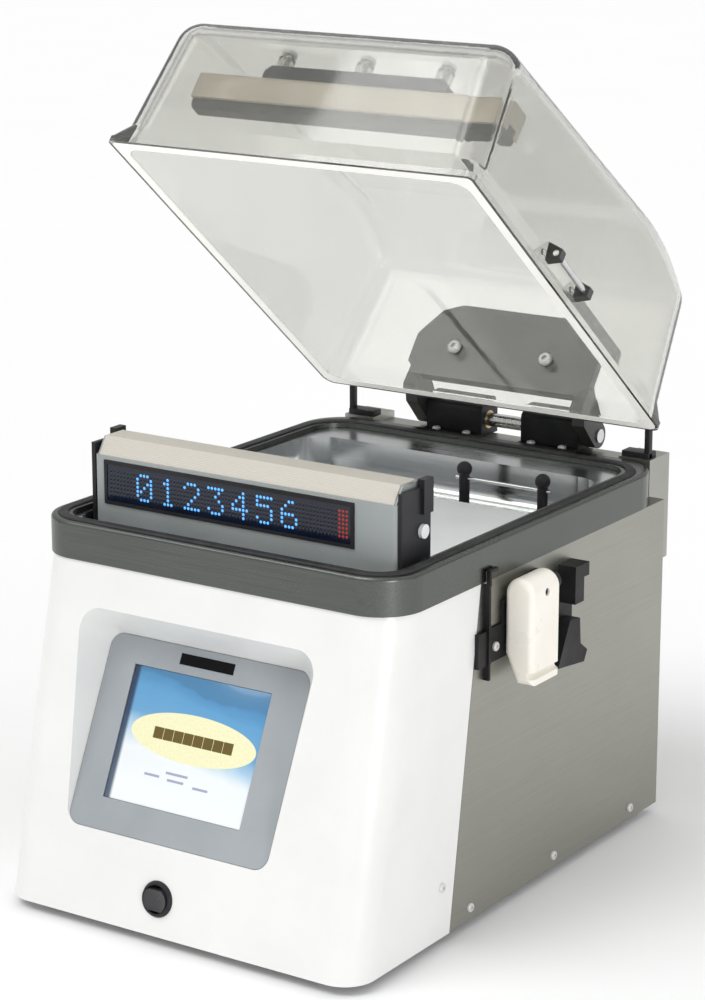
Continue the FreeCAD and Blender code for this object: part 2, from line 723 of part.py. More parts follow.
def under_roof(inset):
    """Everything below the roof line: a straight rise from the front, then one arc down."""
    z0 = LID_RIM_Z
    overrun = 20.0
    front = V(0, LID_FRONT - overrun, z0 + ROOF_FRONT_H - ROOF_SLOPE * overrun - inset)
    top = V(0, ROOF_TOP[0], z0 + ROOF_TOP[1] - inset)
    end = V(0, ROOF_END[0] - inset, z0 + ROOF_END[1] - 0.3 * inset)
    along = (top - front).normalize()
    down = V(0, along.z, -along.y)
    chord = end - top
    radius = chord.dot(chord) / (2 * chord.dot(down))
    centre = top + down * radius
    to_top = math.atan2(top.z - centre.z, top.y - centre.y)
    to_end = math.atan2(end.z - centre.z, end.y - centre.y)
    halfway = (to_top + to_end) / 2
    middle = centre + V(0, math.cos(halfway), math.sin(halfway)) * radius
    out = end + V(0, math.sin(to_end), -math.cos(to_end)) * overrun
    corners = [end, out, V(0, out.y, z0 - 5), V(0, front.y, z0 - 5), front, top]
    edges = [Part.makeLine(a, b) for a, b in zip(corners, corners[1:])]
    wire = Part.Wire(edges + [Part.Arc(top, middle, end).toShape()])
    face = Part.Face(wire)
    face.translate(V(-LID_HALF, 0, 0))
    return face.extrude(V(2 * LID_HALF, 0, 0))


def lid_form(inset, roof_r):
    """The dome as one filled block."""
    walls = Part.makeLoft([lid_outline(inset, 0), lid_outline(inset, DOME_H)], True, True)
    block = walls.common(under_roof(inset))
    roof_edges = [e for e in block.Edges if e.BoundBox.ZMin > LID_RIM_Z + 15]
    return block.makeFillet(roof_r, roof_edges)


def lid_inner():
    return lid_form(LID_WALL, ROOF_INNER_R)


def lid_flange():
    wire = rounded_wire(-LID_HALF, LID_HALF, LID_FRONT, LID_REAR, FLANGE_R, 2 * FLANGE_R, LID_RIM_Z)
    return Part.Face(wire).extrude(V(0, 0, FLANGE_H))


def lid_flare():
    """The slope between the flange's square corners and the rounder wall above."""
    edge = 0.3
    low = rounded_wire(edge - LID_HALF, LID_HALF - edge, LID_FRONT + edge, LID_REAR - edge,
                       FLANGE_R, 2 * FLANGE_R, LID_RIM_Z + FLANGE_H - edge)
    return Part.makeLoft([low, lid_outline(0.05, FLARE_H)], True, True)


def press_bosses():
    """Three clear bosses under the roof, for the bolts of the press bar."""
    z0 = LID_RIM_Z + PRESS_H[1] + RAIL_H
    return [rod(V(x, PRESS_MID, z0), V(x, PRESS_MID, roof_z(PRESS_MID) - 2), 7.0)
            for x in PRESS_BOLTS]


def roof_z(y):
    return LID_RIM_Z + ROOF_FRONT_H + ROOF_SLOPE * (y - LID_FRONT)


def rear_wall_y(z, depth=0.0):
    """The dome's outer rear face at height z, or a depth below that face."""
    return LID_REAR - FLANGE_STEP - depth - REAR_LEAN * (z - LID_RIM_Z)


def keeper_pegs(radius):
    start = keeper_wall_x(KEEPER_Z) - LID_WALL - 2
    return [rod(V(start, y, KEEPER_Z), V(KEEPER_ROD_X, y, KEEPER_Z), radius) for y in KEEPER_LUGS]


def lid_dome():
    inner = lid_inner()
    skirt = inner.copy()
    skirt.translate(V(0, 0, -0.01))
    dome = fuse_all([lid_form(0, ROOF_R), lid_flange(), lid_flare()]).cut(inner).cut(skirt)
    dome = fuse_all([dome] + press_bosses())
    for seat in hinge_bolt_seats():
        dome = dome.cut(rod(seat + V(0, -8, 0), seat + V(0, 20, 0), 3.2))
    for x in PRESS_BOLTS:
        dome = dome.cut(rod(V(x, PRESS_MID, LID_RIM_Z + 90), V(x, PRESS_MID, LID_RIM_Z + 150), 3.2))
    for peg in keeper_pegs(2.7):
        dome = dome.cut(peg)
    return opened(dome.removeSplitter())


def press_bar():
    z0, z1 = [LID_RIM_Z + h for h in PRESS_H]
    bar = box(-PRESS_HALF, PRESS_Y[0], z0, PRESS_HALF, PRESS_Y[1], z1)
    long_edges = [e for e in bar.Edges if e.BoundBox.XLength > 100 and e.BoundBox.ZMin > z1 - 0.1]
    bar = bar.makeFillet(3.0, long_edges)
    bar = bar.cut(box(-PRESS_HALF - 1, PRESS_MID - 6, z0 - 1, PRESS_HALF + 1, PRESS_MID + 6, z0 + 6))
    return opened(bar.cut(press_bolt_holes(2.6)))


def press_bolt_holes(radius):
    z0 = LID_RIM_Z + PRESS_H[0]
    return Part.makeCompound([rod(V(x, PRESS_MID, z0 + 8), V(x, PRESS_MID, z0 + 60), radius)
                              for x in PRESS_BOLTS])


def press_pad():
    z0 = LID_RIM_Z + PRESS_PAD_H
    z1 = LID_RIM_Z + PRESS_H[0]
    pad = box(-PRESS_HALF + 1, PRESS_MID - 9, z0, PRESS_HALF - 1, PRESS_MID + 9, z1)
    low = [e for e in pad.Edges if e.BoundBox.XLength > 100 and e.BoundBox.ZMax < z0 + 0.1]
    pad = pad.makeFillet(5.0, low)
    key = box(-PRESS_HALF + 1, PRESS_MID - 5.8, z1, PRESS_HALF - 1, PRESS_MID + 5.8, z1 + 5.8)
    return opened(pad.fuse(key).removeSplitter())


def press_bracket():
    """The dark rail between the press bar and the bosses of the dome."""
    z0 = LID_RIM_Z + PRESS_H[1]
    rail = box(-RAIL_HALF, PRESS_MID - 8, z0, RAIL_HALF, PRESS_MID + 8, z0 + RAIL_H)
    ends = [e for e in rail.Edges if abs(e.BoundBox.XMin) > RAIL_HALF - 0.1 and e.BoundBox.ZLength < 1
            and e.BoundBox.ZMin > z0 + 1 and e.BoundBox.YLength > 10]
    return opened(rail.makeChamfer(5.0, ends).cut(press_bolt_holes(2.6)))


def lid_bolts():
    """Through bolts for the hinge plate, heads inside, and for the press bar, heads on top."""
    bolts = [screw(seat, V(0, -1, 0), 6.2, 4.2, 3.0, 24.0) for seat in hinge_bolt_seats()]
    for x in PRESS_BOLTS:
        seat = V(x, PRESS_MID, roof_z(PRESS_MID) + 0.6)
        bolts.append(screw(seat, V(0, 0, 1), 6.2, 4.2, 2.5, 44.0))
    return opened(Part.makeCompound(bolts))


def hinge_bolt_seats():
    return [V(x, rear_wall_y(z, LID_WALL) - 0.4, z) for x, z in HINGE_BOLTS]


def hinge_plate():
    """Cast plate on the dome's rear wall, with an arm to the shaft at each end."""
    z0 = PLATE_FOOT
    inner = [(rear_wall_y(z) + 0.4, z) for z in (z0, PLATE_TOP)]
    outer = [(y + PLATE_T, z) for y, z in reversed(inner)]
    plate = prism_x(inner + outer, -110, 110)
    right = [(x, z0 + rise) for x, rise in PLATE_SIDE]
    left = [(-x, z) for x, z in reversed(right)]
    plate = plate.common(prism_y(right + left, 150, 250))
    arm_outline = [(LID_REAR + 2, ARM_FOOT), (LID_REAR + 2, ARM_FOOT + 30),
                   (LID_REAR + 12, ARM_FOOT + 22), (HINGE.y, HINGE.z + ARM_R),
                   (HINGE.y, HINGE.z - ARM_R), (LID_REAR + 12, HINGE.z - 7)]
    arm = prism_x(arm_outline, ARM[0], ARM[1])
    arm = arm.fuse(rod(V(ARM[0], HINGE.y, HINGE.z), V(ARM[1], HINGE.y, HINGE.z), ARM_R))
    rib = box(-80, rear_wall_y(z0) + 5, z0, 80, rear_wall_y(z0) + 14, z0 + 6)
    plate = fuse_all([plate, arm, mirrored(arm), rib])
    plate = plate.cut(rod(V(-120, HINGE.y, HINGE.z), V(120, HINGE.y, HINGE.z), SHAFT_R))
    for seat in hinge_bolt_seats():
        plate = plate.cut(rod(seat + V(0, -8, 0), seat + V(0, 35, 0), 3.2))
    return opened(plate)


def hinge_shaft():
    return rod(V(-SHAFT_HALF, HINGE.y, HINGE.z), V(SHAFT_HALF, HINGE.y, HINGE.z), SHAFT_R)


def hinge_screw_seats():
    return [V(sx * x, HINGE.y + dy, HOUSING_Z[1] + 2.5) for sx in (-1, 1)
            for x, dy in ((33.0, -18.0), (64.0, -18.0))]


def hinge_bracket():
    """One cast block: a bush hole in each end wall and a spring chamber open to the rear."""
    z0 = HOUSING_Z[1]
    x0, x1 = BLOCK_X
    front = HINGE.y - BLOCK_HALF
    base = box(x0, front - 10, z0, x1, HINGE.y + BLOCK_HALF, z0 + 2.5)
    block = box(x0, front, z0, x1, HINGE.y + BLOCK_HALF, HINGE.z + BLOCK_TOP)
    long_top = [e for e in block.Edges if e.BoundBox.ZMin > HINGE.z + 14 and e.BoundBox.XLength > 20]
    block = block.makeFillet(5.0, long_top)
    chamber = box(EARS[0][1], front + 2.2, z0 + 2.5, EARS[1][0], HINGE.y + 20, HINGE.z + 11.5)
    bracket = fuse_all([base, block]).cut(chamber)
    bracket = bracket.cut(rod(V(x0 - 5, HINGE.y, HINGE.z), V(x1 + 5, HINGE.y, HINGE.z), BUSH_R))
    return drill(bracket, [s for s in hinge_screw_seats() if s.x > 0], V(0, 0, 1))


def hinge_bushes():
    bushes = []
    for sx in (-1, 1):
        for a, b in EARS:
            bushes.append(tube(V(sx * a, HINGE.y, HINGE.z), V(sx * b, HINGE.y, HINGE.z), BUSH_R,
                               SHAFT_R + RUNNING))
    return Part.makeCompound(bushes)


def torsion_spring():
    """A close-wound torsion spring as one ribbed sleeve round the shaft."""
    turns = int((SPRING_SPAN[1] - SPRING_SPAN[0]) / (2 * SPRING_WIRE))
    mid_r = SPRING_R - SPRING_WIRE
    bore = mid_r - SPRING_WIRE * 0.7
    x0 = SPRING_SPAN[0]
    sleeve = tube(V(x0, 0, 0), V(x0 + turns * 2 * SPRING_WIRE, 0, 0), mid_r, bore)
    coils = []
    for k in range(turns):
        centre = V(x0 + SPRING_WIRE * (2 * k + 1), 0, 0)
        coils.append(Part.makeTorus(mid_r, SPRING_WIRE - 0.001, centre, V(1, 0, 0)))
    spring = sleeve.multiFuse(coils)
    spring.translate(V(0, HINGE.y, HINGE.z))
    return spring


def keeper_wall_x(z):
    return LID_HALF - FLANGE_STEP - SIDE_LEAN * (z - LID_RIM_Z)


def lid_keeper():
    """Two black lugs pegged to the lid's right wall, holding the bar that the latch hooks."""
    wall = keeper_wall_x(KEEPER_Z - 7)
    lugs = []
    for y, peg in zip(KEEPER_LUGS, keeper_pegs(2.5)):
        lug = prism_y([(wall + 1.2, KEEPER_Z - 7), (KEEPER_ROD_X + 4.5, KEEPER_Z - 4),
                       (KEEPER_ROD_X + 4.5, KEEPER_Z + 4), (wall - 1.2, KEEPER_Z + 9)],
                      y - 3.5, y + 3.5)
        bore = rod(V(KEEPER_ROD_X, y - 5, KEEPER_Z), V(KEEPER_ROD_X, y + 5, KEEPER_Z), KEEPER_ROD_R)
        lugs.append(lug.fuse(peg).cut(bore))
    return opened(Part.makeCompound(lugs))


def keeper_rod():
    start = V(KEEPER_ROD_X, KEEPER_LUGS[0] - 3.5, KEEPER_Z)
    return opened(rod(start, start + V(0, KEEPER_LUGS[1] - KEEPER_LUGS[0] + 7, 0), KEEPER_ROD_R))


# ---------------------------------------------------------------- side latch

def latch_screw_seats():
    return [V(HALF_W + 2, y, z) for y, z in ((-70.0, 218.0), (14.0, 240.0), (14.0, 217.0))]


def latch_bracket():
    """Black plate on the right side: a thin guard, one lug for the pin and two stops."""
    x0 = HALF_W + 0.1
    plate = box(x0, -60, 206, x0 + 1.9, 50, 252)
    strip = box(x0, -84, 206, x0 + 1.9, -59, 234)
    ear = box(x0, -97, 206, x0 + 3.5, -78, 234)
    guard = [box(x0, -84, 194, x0 + 5, -81.5, CASE_TOP - 2),
             box(x0 + 2, -84, CASE_TOP - 3, x0 + 5.5, -81.5, CASE_TOP + 10),
             box(x0 + 2, -84, CASE_TOP + 7.5, x0 + 5.5, -72, CASE_TOP + 10)]
    top_stop = prism_x([(30, 228), (44, 228), (44, 248), (52, 248), (52, 259), (30, 259)],
                       x0, x0 + 16)
    low_stop = prism_x([(26, 216), (42, 214), (44, 192), (55, 184), (50, 175), (8, 180)],
                       x0, x0 + 14)
    lug = prism_y([(x0, 234), (x0, LATCH_PIN.z + 7), (LATCH_PIN.x, LATCH_PIN.z + 7),
                   (LATCH_PIN.x, LATCH_PIN.z - 7)], *LUG_Y)
    boss = rod(V(LATCH_PIN.x, LUG_Y[0], LATCH_PIN.z), V(LATCH_PIN.x, LUG_Y[1], LATCH_PIN.z), 7.0)
    bracket = fuse_all([plate, strip, ear, top_stop, low_stop, lug, boss] + guard)
    bracket = bracket.cut(rod(V(LATCH_PIN.x, LUG_Y[0] - 1, LATCH_PIN.z),
                              V(LATCH_PIN.x, LUG_Y[1] + 1, LATCH_PIN.z), LATCH_PIN_R))
    return drill(bracket, latch_screw_seats(), V(1, 0, 0))


def latch_pin():
    """Pressed into the lug; its free end is inside the lever."""
    return rod(V(LATCH_PIN.x, LATCH_Y[0] + 4, LATCH_PIN.z), V(LATCH_PIN.x, LUG_Y[1] + 1, LATCH_PIN.z),
               LATCH_PIN_R)


def latch_lever():
    """The white lever: hangs down at rest, swings out and up to hook the lid's bar."""
    x, z = LATCH_PIN.x, LATCH_PIN.z
    y0, y1 = LATCH_Y
    head = rod(V(x, y0, z), V(x, y1, z), LATCH_R)
    taper = [(x - LATCH_R, z), (x + LATCH_R, z), (x + LATCH_R, z - LATCH_TAIL),
             (x - 2, z - LATCH_TAIL), (x - LATCH_R, z - 48)]
    lever = head.fuse(prism_y(taper, y0, y1)).removeSplitter()
    upright = [e for e in lever.Edges if e.BoundBox.YLength < 0.01]
    lever = lever.makeFillet(5.0, upright)
    groove = V(2 * x - KEEPER_ROD_X, 0, 2 * z - KEEPER_Z)
    groove_r = KEEPER_ROD_R + 0.4
    lever = lever.cut(rod(groove + V(0, y0 - 1, 0), groove + V(0, y1 + 1, 0), groove_r))
    lever = lever.cut(box(groove.x, y0 - 1, groove.z - groove_r, x + 20, y1 + 1, groove.z + groove_r))
    lever = lever.cut(rod(V(x + LATCH_R - 3.5, (y0 + y1) / 2, z), V(x + 20, (y0 + y1) / 2, z), 3.2))
    return lever.cut(rod(V(x, y0 + 3.5, z), V(x, y1 + 1, z), LATCH_PIN_R + RUNNING))


# ---------------------------------------------------------------- pump and services

def vacuum_pump():
    y0, y1 = PUMP_Y
    body = rod(V(PUMP_X, y0, PUMP_Z), V(PUMP_X, y1, PUMP_Z), PUMP_R)
    tank = box(PUMP_X - 48, y0 + 10, PUMP_Z - 50, PUMP_X + 48, y1, PUMP_Z + 50)
    corners = [e for e in tank.Edges if e.BoundBox.YLength > 100]
    tank = tank.makeFillet(8.0, corners)
    foot = box(PUMP_X - 52, y0 + 20, TRAY_TOP, PUMP_X + 52, y1 - 20, PUMP_Z - 40)
    inlet = rod(V(PUMP_X, y0 + 40, PUMP_Z + 40), V(PUMP_X, y0 + 40, PUMP_Z + 66), 11.0)
    outlet = rod(V(PUMP_X, y1 - 25, PUMP_Z + 40), V(PUMP_X, y1 - 25, PUMP_Z + 52), 11.0)
    pump = fuse_all([body, tank, foot, inlet, outlet])
    pump = pump.cut(rod(V(PUMP_X, y0 + 40, PUMP_Z + 50), V(PUMP_X, y0 + 40, PUMP_Z + 70), 8.0))
    pump = pump.cut(rod(V(PUMP_X, y1 - 25, PUMP_Z + 44), V(PUMP_X, y1 - 25, PUMP_Z + 60), 8.0))
    pump = pump.cut(rod(V(PUMP_X, y0 - 1, PUMP_Z), V(PUMP_X, y0 + 30, PUMP_Z), 6.5))
    return pump.cut(rod(V(PUMP_X + 20, y1 - 5, PUMP_Z - 18), V(PUMP_X + 20, y1 + 1, PUMP_Z - 18), 10))


def oil_sight_glass():
    y1 = PUMP_Y[1]
    return rod(V(PUMP_X + 20, y1 - 5, PUMP_Z - 18), V(PUMP_X + 20, y1 + 2, PUMP_Z - 18), 9.8)


def motor_shell():
    y0, y1 = MOTOR_Y
    shell = tube(V(PUMP_X, y0, PUMP_Z), V(PUMP_X, y1, PUMP_Z), 50.0, 42.0)
    bells = []
    for a, b in ((y0, y0 + 5), (y1 - 5, y1)):
        bell = rod(V(PUMP_X, a, PUMP_Z), V(PUMP_X, b, PUMP_Z), 46.0)
        bells.append(bell.cut(rod(V(PUMP_X, a - 1, PUMP_Z), V(PUMP_X, b + 1, PUMP_Z), 11.0)))
    fins = []
    for k in range(24):
        fin = box(PUMP_X - 1.2, y0 + 12, PUMP_Z + 49, PUMP_X + 1.2, y1 - 12, PUMP_Z + 54)
        fin.rotate(V(PUMP_X, 0, PUMP_Z), V(0, 1, 0), 15.0 * k)
        fins.append(fin)
    terminal = box(PUMP_X - 25, -20, PUMP_Z + 48, PUMP_X + 25, 30, PUMP_Z + 74)
    return fuse_all([shell] + bells + fins + [terminal])


def motor_bearings():
    bearings = []
    for a, b in ((MOTOR_Y[0], MOTOR_Y[0] + 5), (MOTOR_Y[1] - 5, MOTOR_Y[1])):
        bearings.append(tube(V(PUMP_X, a, PUMP_Z), V(PUMP_X, b, PUMP_Z), 11.0, 6.0 + RUNNING))
    return Part.makeCompound(bearings)


def motor_rotor():
    y0, y1 = MOTOR_Y
    shaft = rod(V(PUMP_X, FAN_Y[0] - 4, PUMP_Z), V(PUMP_X, PUMP_Y[0] + 24, PUMP_Z), 6.0)
    return shaft.fuse(rod(V(PUMP_X, y0 + 20, PUMP_Z), V(PUMP_X, y1 - 20, PUMP_Z), 32.0))


def motor_fan():
    y0, y1 = FAN_Y
    hub = rod(V(PUMP_X, y0, PUMP_Z), V(PUMP_X, y1, PUMP_Z), 14.0)
    blades = [hub]
    for k in range(8):
        blade = box(PUMP_X - 1.2, y0, PUMP_Z + 12, PUMP_X + 1.2, y1, PUMP_Z + FAN_R)
        blade.rotate(V(PUMP_X, 0, PUMP_Z), V(0, 1, 0), 45.0 * k)
        blades.append(blade)
    fan = fuse_all(blades)
    return fan.cut(rod(V(PUMP_X, y0 - 1, PUMP_Z), V(PUMP_X, y1 + 1, PUMP_Z), 6.0))


def fan_cowl():
    y0 = FAN_Y[0] - 12
    y1 = MOTOR_Y[0]
    cowl = tube(V(PUMP_X, y0, PUMP_Z), V(PUMP_X, y1 - 0.2, PUMP_Z), 51.0, 49.0)
    lid = rod(V(PUMP_X, y0, PUMP_Z), V(PUMP_X, y0 + 2, PUMP_Z), 49.0)
    for k in range(8):
        slot = box(PUMP_X - 4, y0 - 1, PUMP_Z + 16, PUMP_X + 4, y0 + 3, PUMP_Z + 40)
        slot.rotate(V(PUMP_X, 0, PUMP_Z), V(0, 1, 0), 45.0 * k)
        lid = lid.cut(slot)
    return cowl.fuse(lid).removeSplitter()


def mist_filter():
    x, y = MIST_FILTER
    can = rod(V(x, y, TRAY_TOP), V(x, y, 130.0), 32.0)
    rims = [e for e in can.Edges if e.Closed and e.BoundBox.ZLength < 0.01]
    can = can.makeFillet(6.0, rims)
    return can.cut(rod(V(x, y, 120), V(x, y, 140), 7.0))


def exhaust_spigot():
    x, z = EXHAUST
    flange = rod(V(x, RIM_REAR, z), V(x, RIM_REAR + 3, z), 13.0)
    inner = rod(V(x, RIM_REAR - 14, z), V(x, RIM_REAR, z), 8.0)
    spigot = rod(V(x, RIM_REAR + 3, z), V(x, RIM_REAR + 27, z), 8.0)
    body = fuse_all([flange, inner, spigot])
    return body.cut(rod(V(x, RIM_REAR - 15, z), V(x, RIM_REAR + 30, z), 6.0))


def power_inlet():
    """The socket that the mains lead plugs into."""
    x, z = INLET
    plate = box(x - 20, RIM_REAR, z - 14, x + 20, RIM_REAR + 3, z + 14)
    body = box(x - 14, RIM_REAR - 22, z - 10, x + 14, RIM_REAR, z + 10)
    inlet = plate.fuse(body).removeSplitter()
    inlet = inlet.cut(box(x - 12, RIM_REAR - 17, z - 8, x + 12, RIM_REAR + 5, z + 8))
    for dx, dz in ((-7.0, 1.5), (0.0, -2.5), (7.0, 1.5)):
        inlet = inlet.fuse(box(x + dx - 1, RIM_REAR - 18, z + dz - 2, x + dx + 1, RIM_REAR - 2,
                               z + dz + 2))
    return inlet


def seal_transformer():
    core = box(60, -118, TRAY_TOP, 130, -48, 70)
    coil = box(66, -128, 12, 124, -38, 61)
    return core.fuse(coil).removeSplitter()


def valve_block():
    """Solenoid valves on one block, bolted up under the tub."""
    body = box(20, 60, TUB_FLOOR - 34, 140, 100, TUB_FLOOR - 0.1)
    coils = [rod(V(78.0 + 26 * k, 80, VALVE_Z - 44), V(78.0 + 26 * k, 80, VALVE_Z - 16), 11.0)
             for k in range(3)]
    block = fuse_all([body] + coils)
    block = block.cut(rod(V(19, 80, VALVE_Z), V(34, 80, VALVE_Z), 8.0))
    return block.cut(rod(V(40, 80, VALVE_Z - 30), V(40, 80, VALVE_Z - 6), 8.0))


def pump_hose():
    y = PUMP_Y[0] + 40
    route = [V(PUMP_X, y, PUMP_Z + 52), V(PUMP_X, y, VALVE_Z), V(-24, 80, VALVE_Z),
             V(33, 80, VALVE_Z)]
    return pipe(route, 7.8, 20.0)


def chamber_hose():
    top = TUB_FLOOR + SHEET - 22.3
    low = VALVE_Z - 52
    route = [V(60, 120, top), V(60, 120, low), V(40, 80, low), V(40, 80, VALVE_Z - 9)]
    return pipe(route, 7.8, 12.0)


def exhaust_hose():
    y = PUMP_Y[1] - 25
    route = [V(PUMP_X, y, PUMP_Z + 45), V(PUMP_X, y, EXHAUST[1]), V(PUMP_X, RIM_REAR - 14.2, EXHAUST[1])]
    return pipe(route, 7.8, 10.0)


def control_board():
    """The circuit board, standing on four spacers on the tray."""
    x0, x1, y0, y1 = -120.0, 40.0, -222.0, -136.0
    parts = [box(x0, y0, BOARD_Z, x1, y1, BOARD_Z + 1.6)]
    for x in (x0 + 6, x1 - 6):
        for y in (y0 + 6, y1 - 6):
            parts.append(rod(V(x, y, TRAY_TOP), V(x, y, BOARD_Z), 3.0))
    for x, y, w, d, h in ((-104, -205, 34, 34, 6), (-58, -176, 18, 30, 14), (-30, -205, 26, 26, 9),
                          (8, -180, 22, 24, 12)):
        parts.append(box(x, y, BOARD_Z + 1.5, x + w, y + d, BOARD_Z + 1.5 + h))
    return fuse_all(parts)


def vacuum_hoses():
    return Part.makeCompound([pump_hose(), chamber_hose(), exhaust_hose()])


def hinge_brackets():
    return both_sides(hinge_bracket())


def torsion_springs():
    return both_sides(torsion_spring())


NODES = [
    base_tray,
    rubber_feet,
    front_cover,
    left_side_panel,
    right_side_panel,
    rear_panel,
    case_screws,
    rim_trim,
    lid_gasket,
    hinge_housing,
    control_bezel,
    touch_screen,
    display_module,
    status_window,
    power_switch_bezel,
    power_rocker,
    chamber_tub,
    filler_plate,
    bag_stop_posts,
    bag_stop_rod,
    suction_port,
    guide_pins,
    lift_bladders,
    seal_housing,
    seal_bar_core,
    heating_wire,
    seal_tape,
    seal_end_caps,
    wire_terminals,
    display_frame,
    display_lens,
    lid_dome,
    press_bar,
    press_pad,
    press_bracket,
    lid_bolts,
    hinge_plate,
    hinge_shaft,
    hinge_brackets,
    hinge_bushes,
    torsion_springs,
    lid_keeper,
    keeper_rod,
    latch_bracket,
    latch_pin,
    latch_lever,
    vacuum_pump,
    oil_sight_glass,
    motor_shell,
    motor_bearings,
    motor_rotor,
    motor_fan,
    fan_cowl,
    mist_filter,
    exhaust_spigot,
    power_inlet,
    seal_transformer,
    valve_block,
    vacuum_hoses,
    control_board,
]

os.makedirs("parts", exist_ok=True)
for make_node in NODES:
    export(make_node.__name__, make_node())
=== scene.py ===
import json
import math

import bmesh
import bpy
from mathutils import Matrix, Vector

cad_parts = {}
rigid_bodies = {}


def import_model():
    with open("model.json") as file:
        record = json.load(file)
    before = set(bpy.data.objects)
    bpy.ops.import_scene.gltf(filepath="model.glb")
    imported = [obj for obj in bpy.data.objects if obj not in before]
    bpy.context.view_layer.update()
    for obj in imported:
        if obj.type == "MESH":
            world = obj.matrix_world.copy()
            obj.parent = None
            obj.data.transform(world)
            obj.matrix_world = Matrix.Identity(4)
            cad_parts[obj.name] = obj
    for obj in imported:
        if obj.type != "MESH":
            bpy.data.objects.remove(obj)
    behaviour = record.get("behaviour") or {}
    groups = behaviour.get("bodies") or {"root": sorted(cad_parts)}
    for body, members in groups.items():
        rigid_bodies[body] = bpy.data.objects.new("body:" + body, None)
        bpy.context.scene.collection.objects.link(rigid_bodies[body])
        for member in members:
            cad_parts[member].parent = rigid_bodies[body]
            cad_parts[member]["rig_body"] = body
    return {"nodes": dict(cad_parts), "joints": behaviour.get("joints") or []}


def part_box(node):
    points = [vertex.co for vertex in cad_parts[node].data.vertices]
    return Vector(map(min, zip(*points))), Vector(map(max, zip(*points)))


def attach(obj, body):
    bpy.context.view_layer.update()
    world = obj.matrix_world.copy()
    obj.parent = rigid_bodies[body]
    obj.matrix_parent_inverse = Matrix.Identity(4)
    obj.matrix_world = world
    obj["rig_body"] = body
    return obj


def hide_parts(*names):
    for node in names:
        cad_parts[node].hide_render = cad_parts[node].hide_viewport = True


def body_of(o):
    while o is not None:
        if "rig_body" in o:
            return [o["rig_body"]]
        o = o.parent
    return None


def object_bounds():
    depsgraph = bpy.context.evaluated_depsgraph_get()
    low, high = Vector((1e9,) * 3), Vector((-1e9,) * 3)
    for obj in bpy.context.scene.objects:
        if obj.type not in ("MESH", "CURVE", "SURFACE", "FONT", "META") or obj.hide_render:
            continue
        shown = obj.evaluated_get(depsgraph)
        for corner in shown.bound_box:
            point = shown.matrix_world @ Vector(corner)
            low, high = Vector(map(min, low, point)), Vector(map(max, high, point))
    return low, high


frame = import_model()
CAD_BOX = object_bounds()
MM = 0.001

# ---------------------------------------------------------------- materials


def fill_ramp(node, steps):
    """Give a colour ramp node these (position, colour) steps, in rising order."""
    elements = node.color_ramp.elements
    while len(elements) < len(steps):
        elements.new(0.5)
    for element, (position, colour) in zip(elements, steps):
        element.position = position
        element.color = (*colour, 1.0)


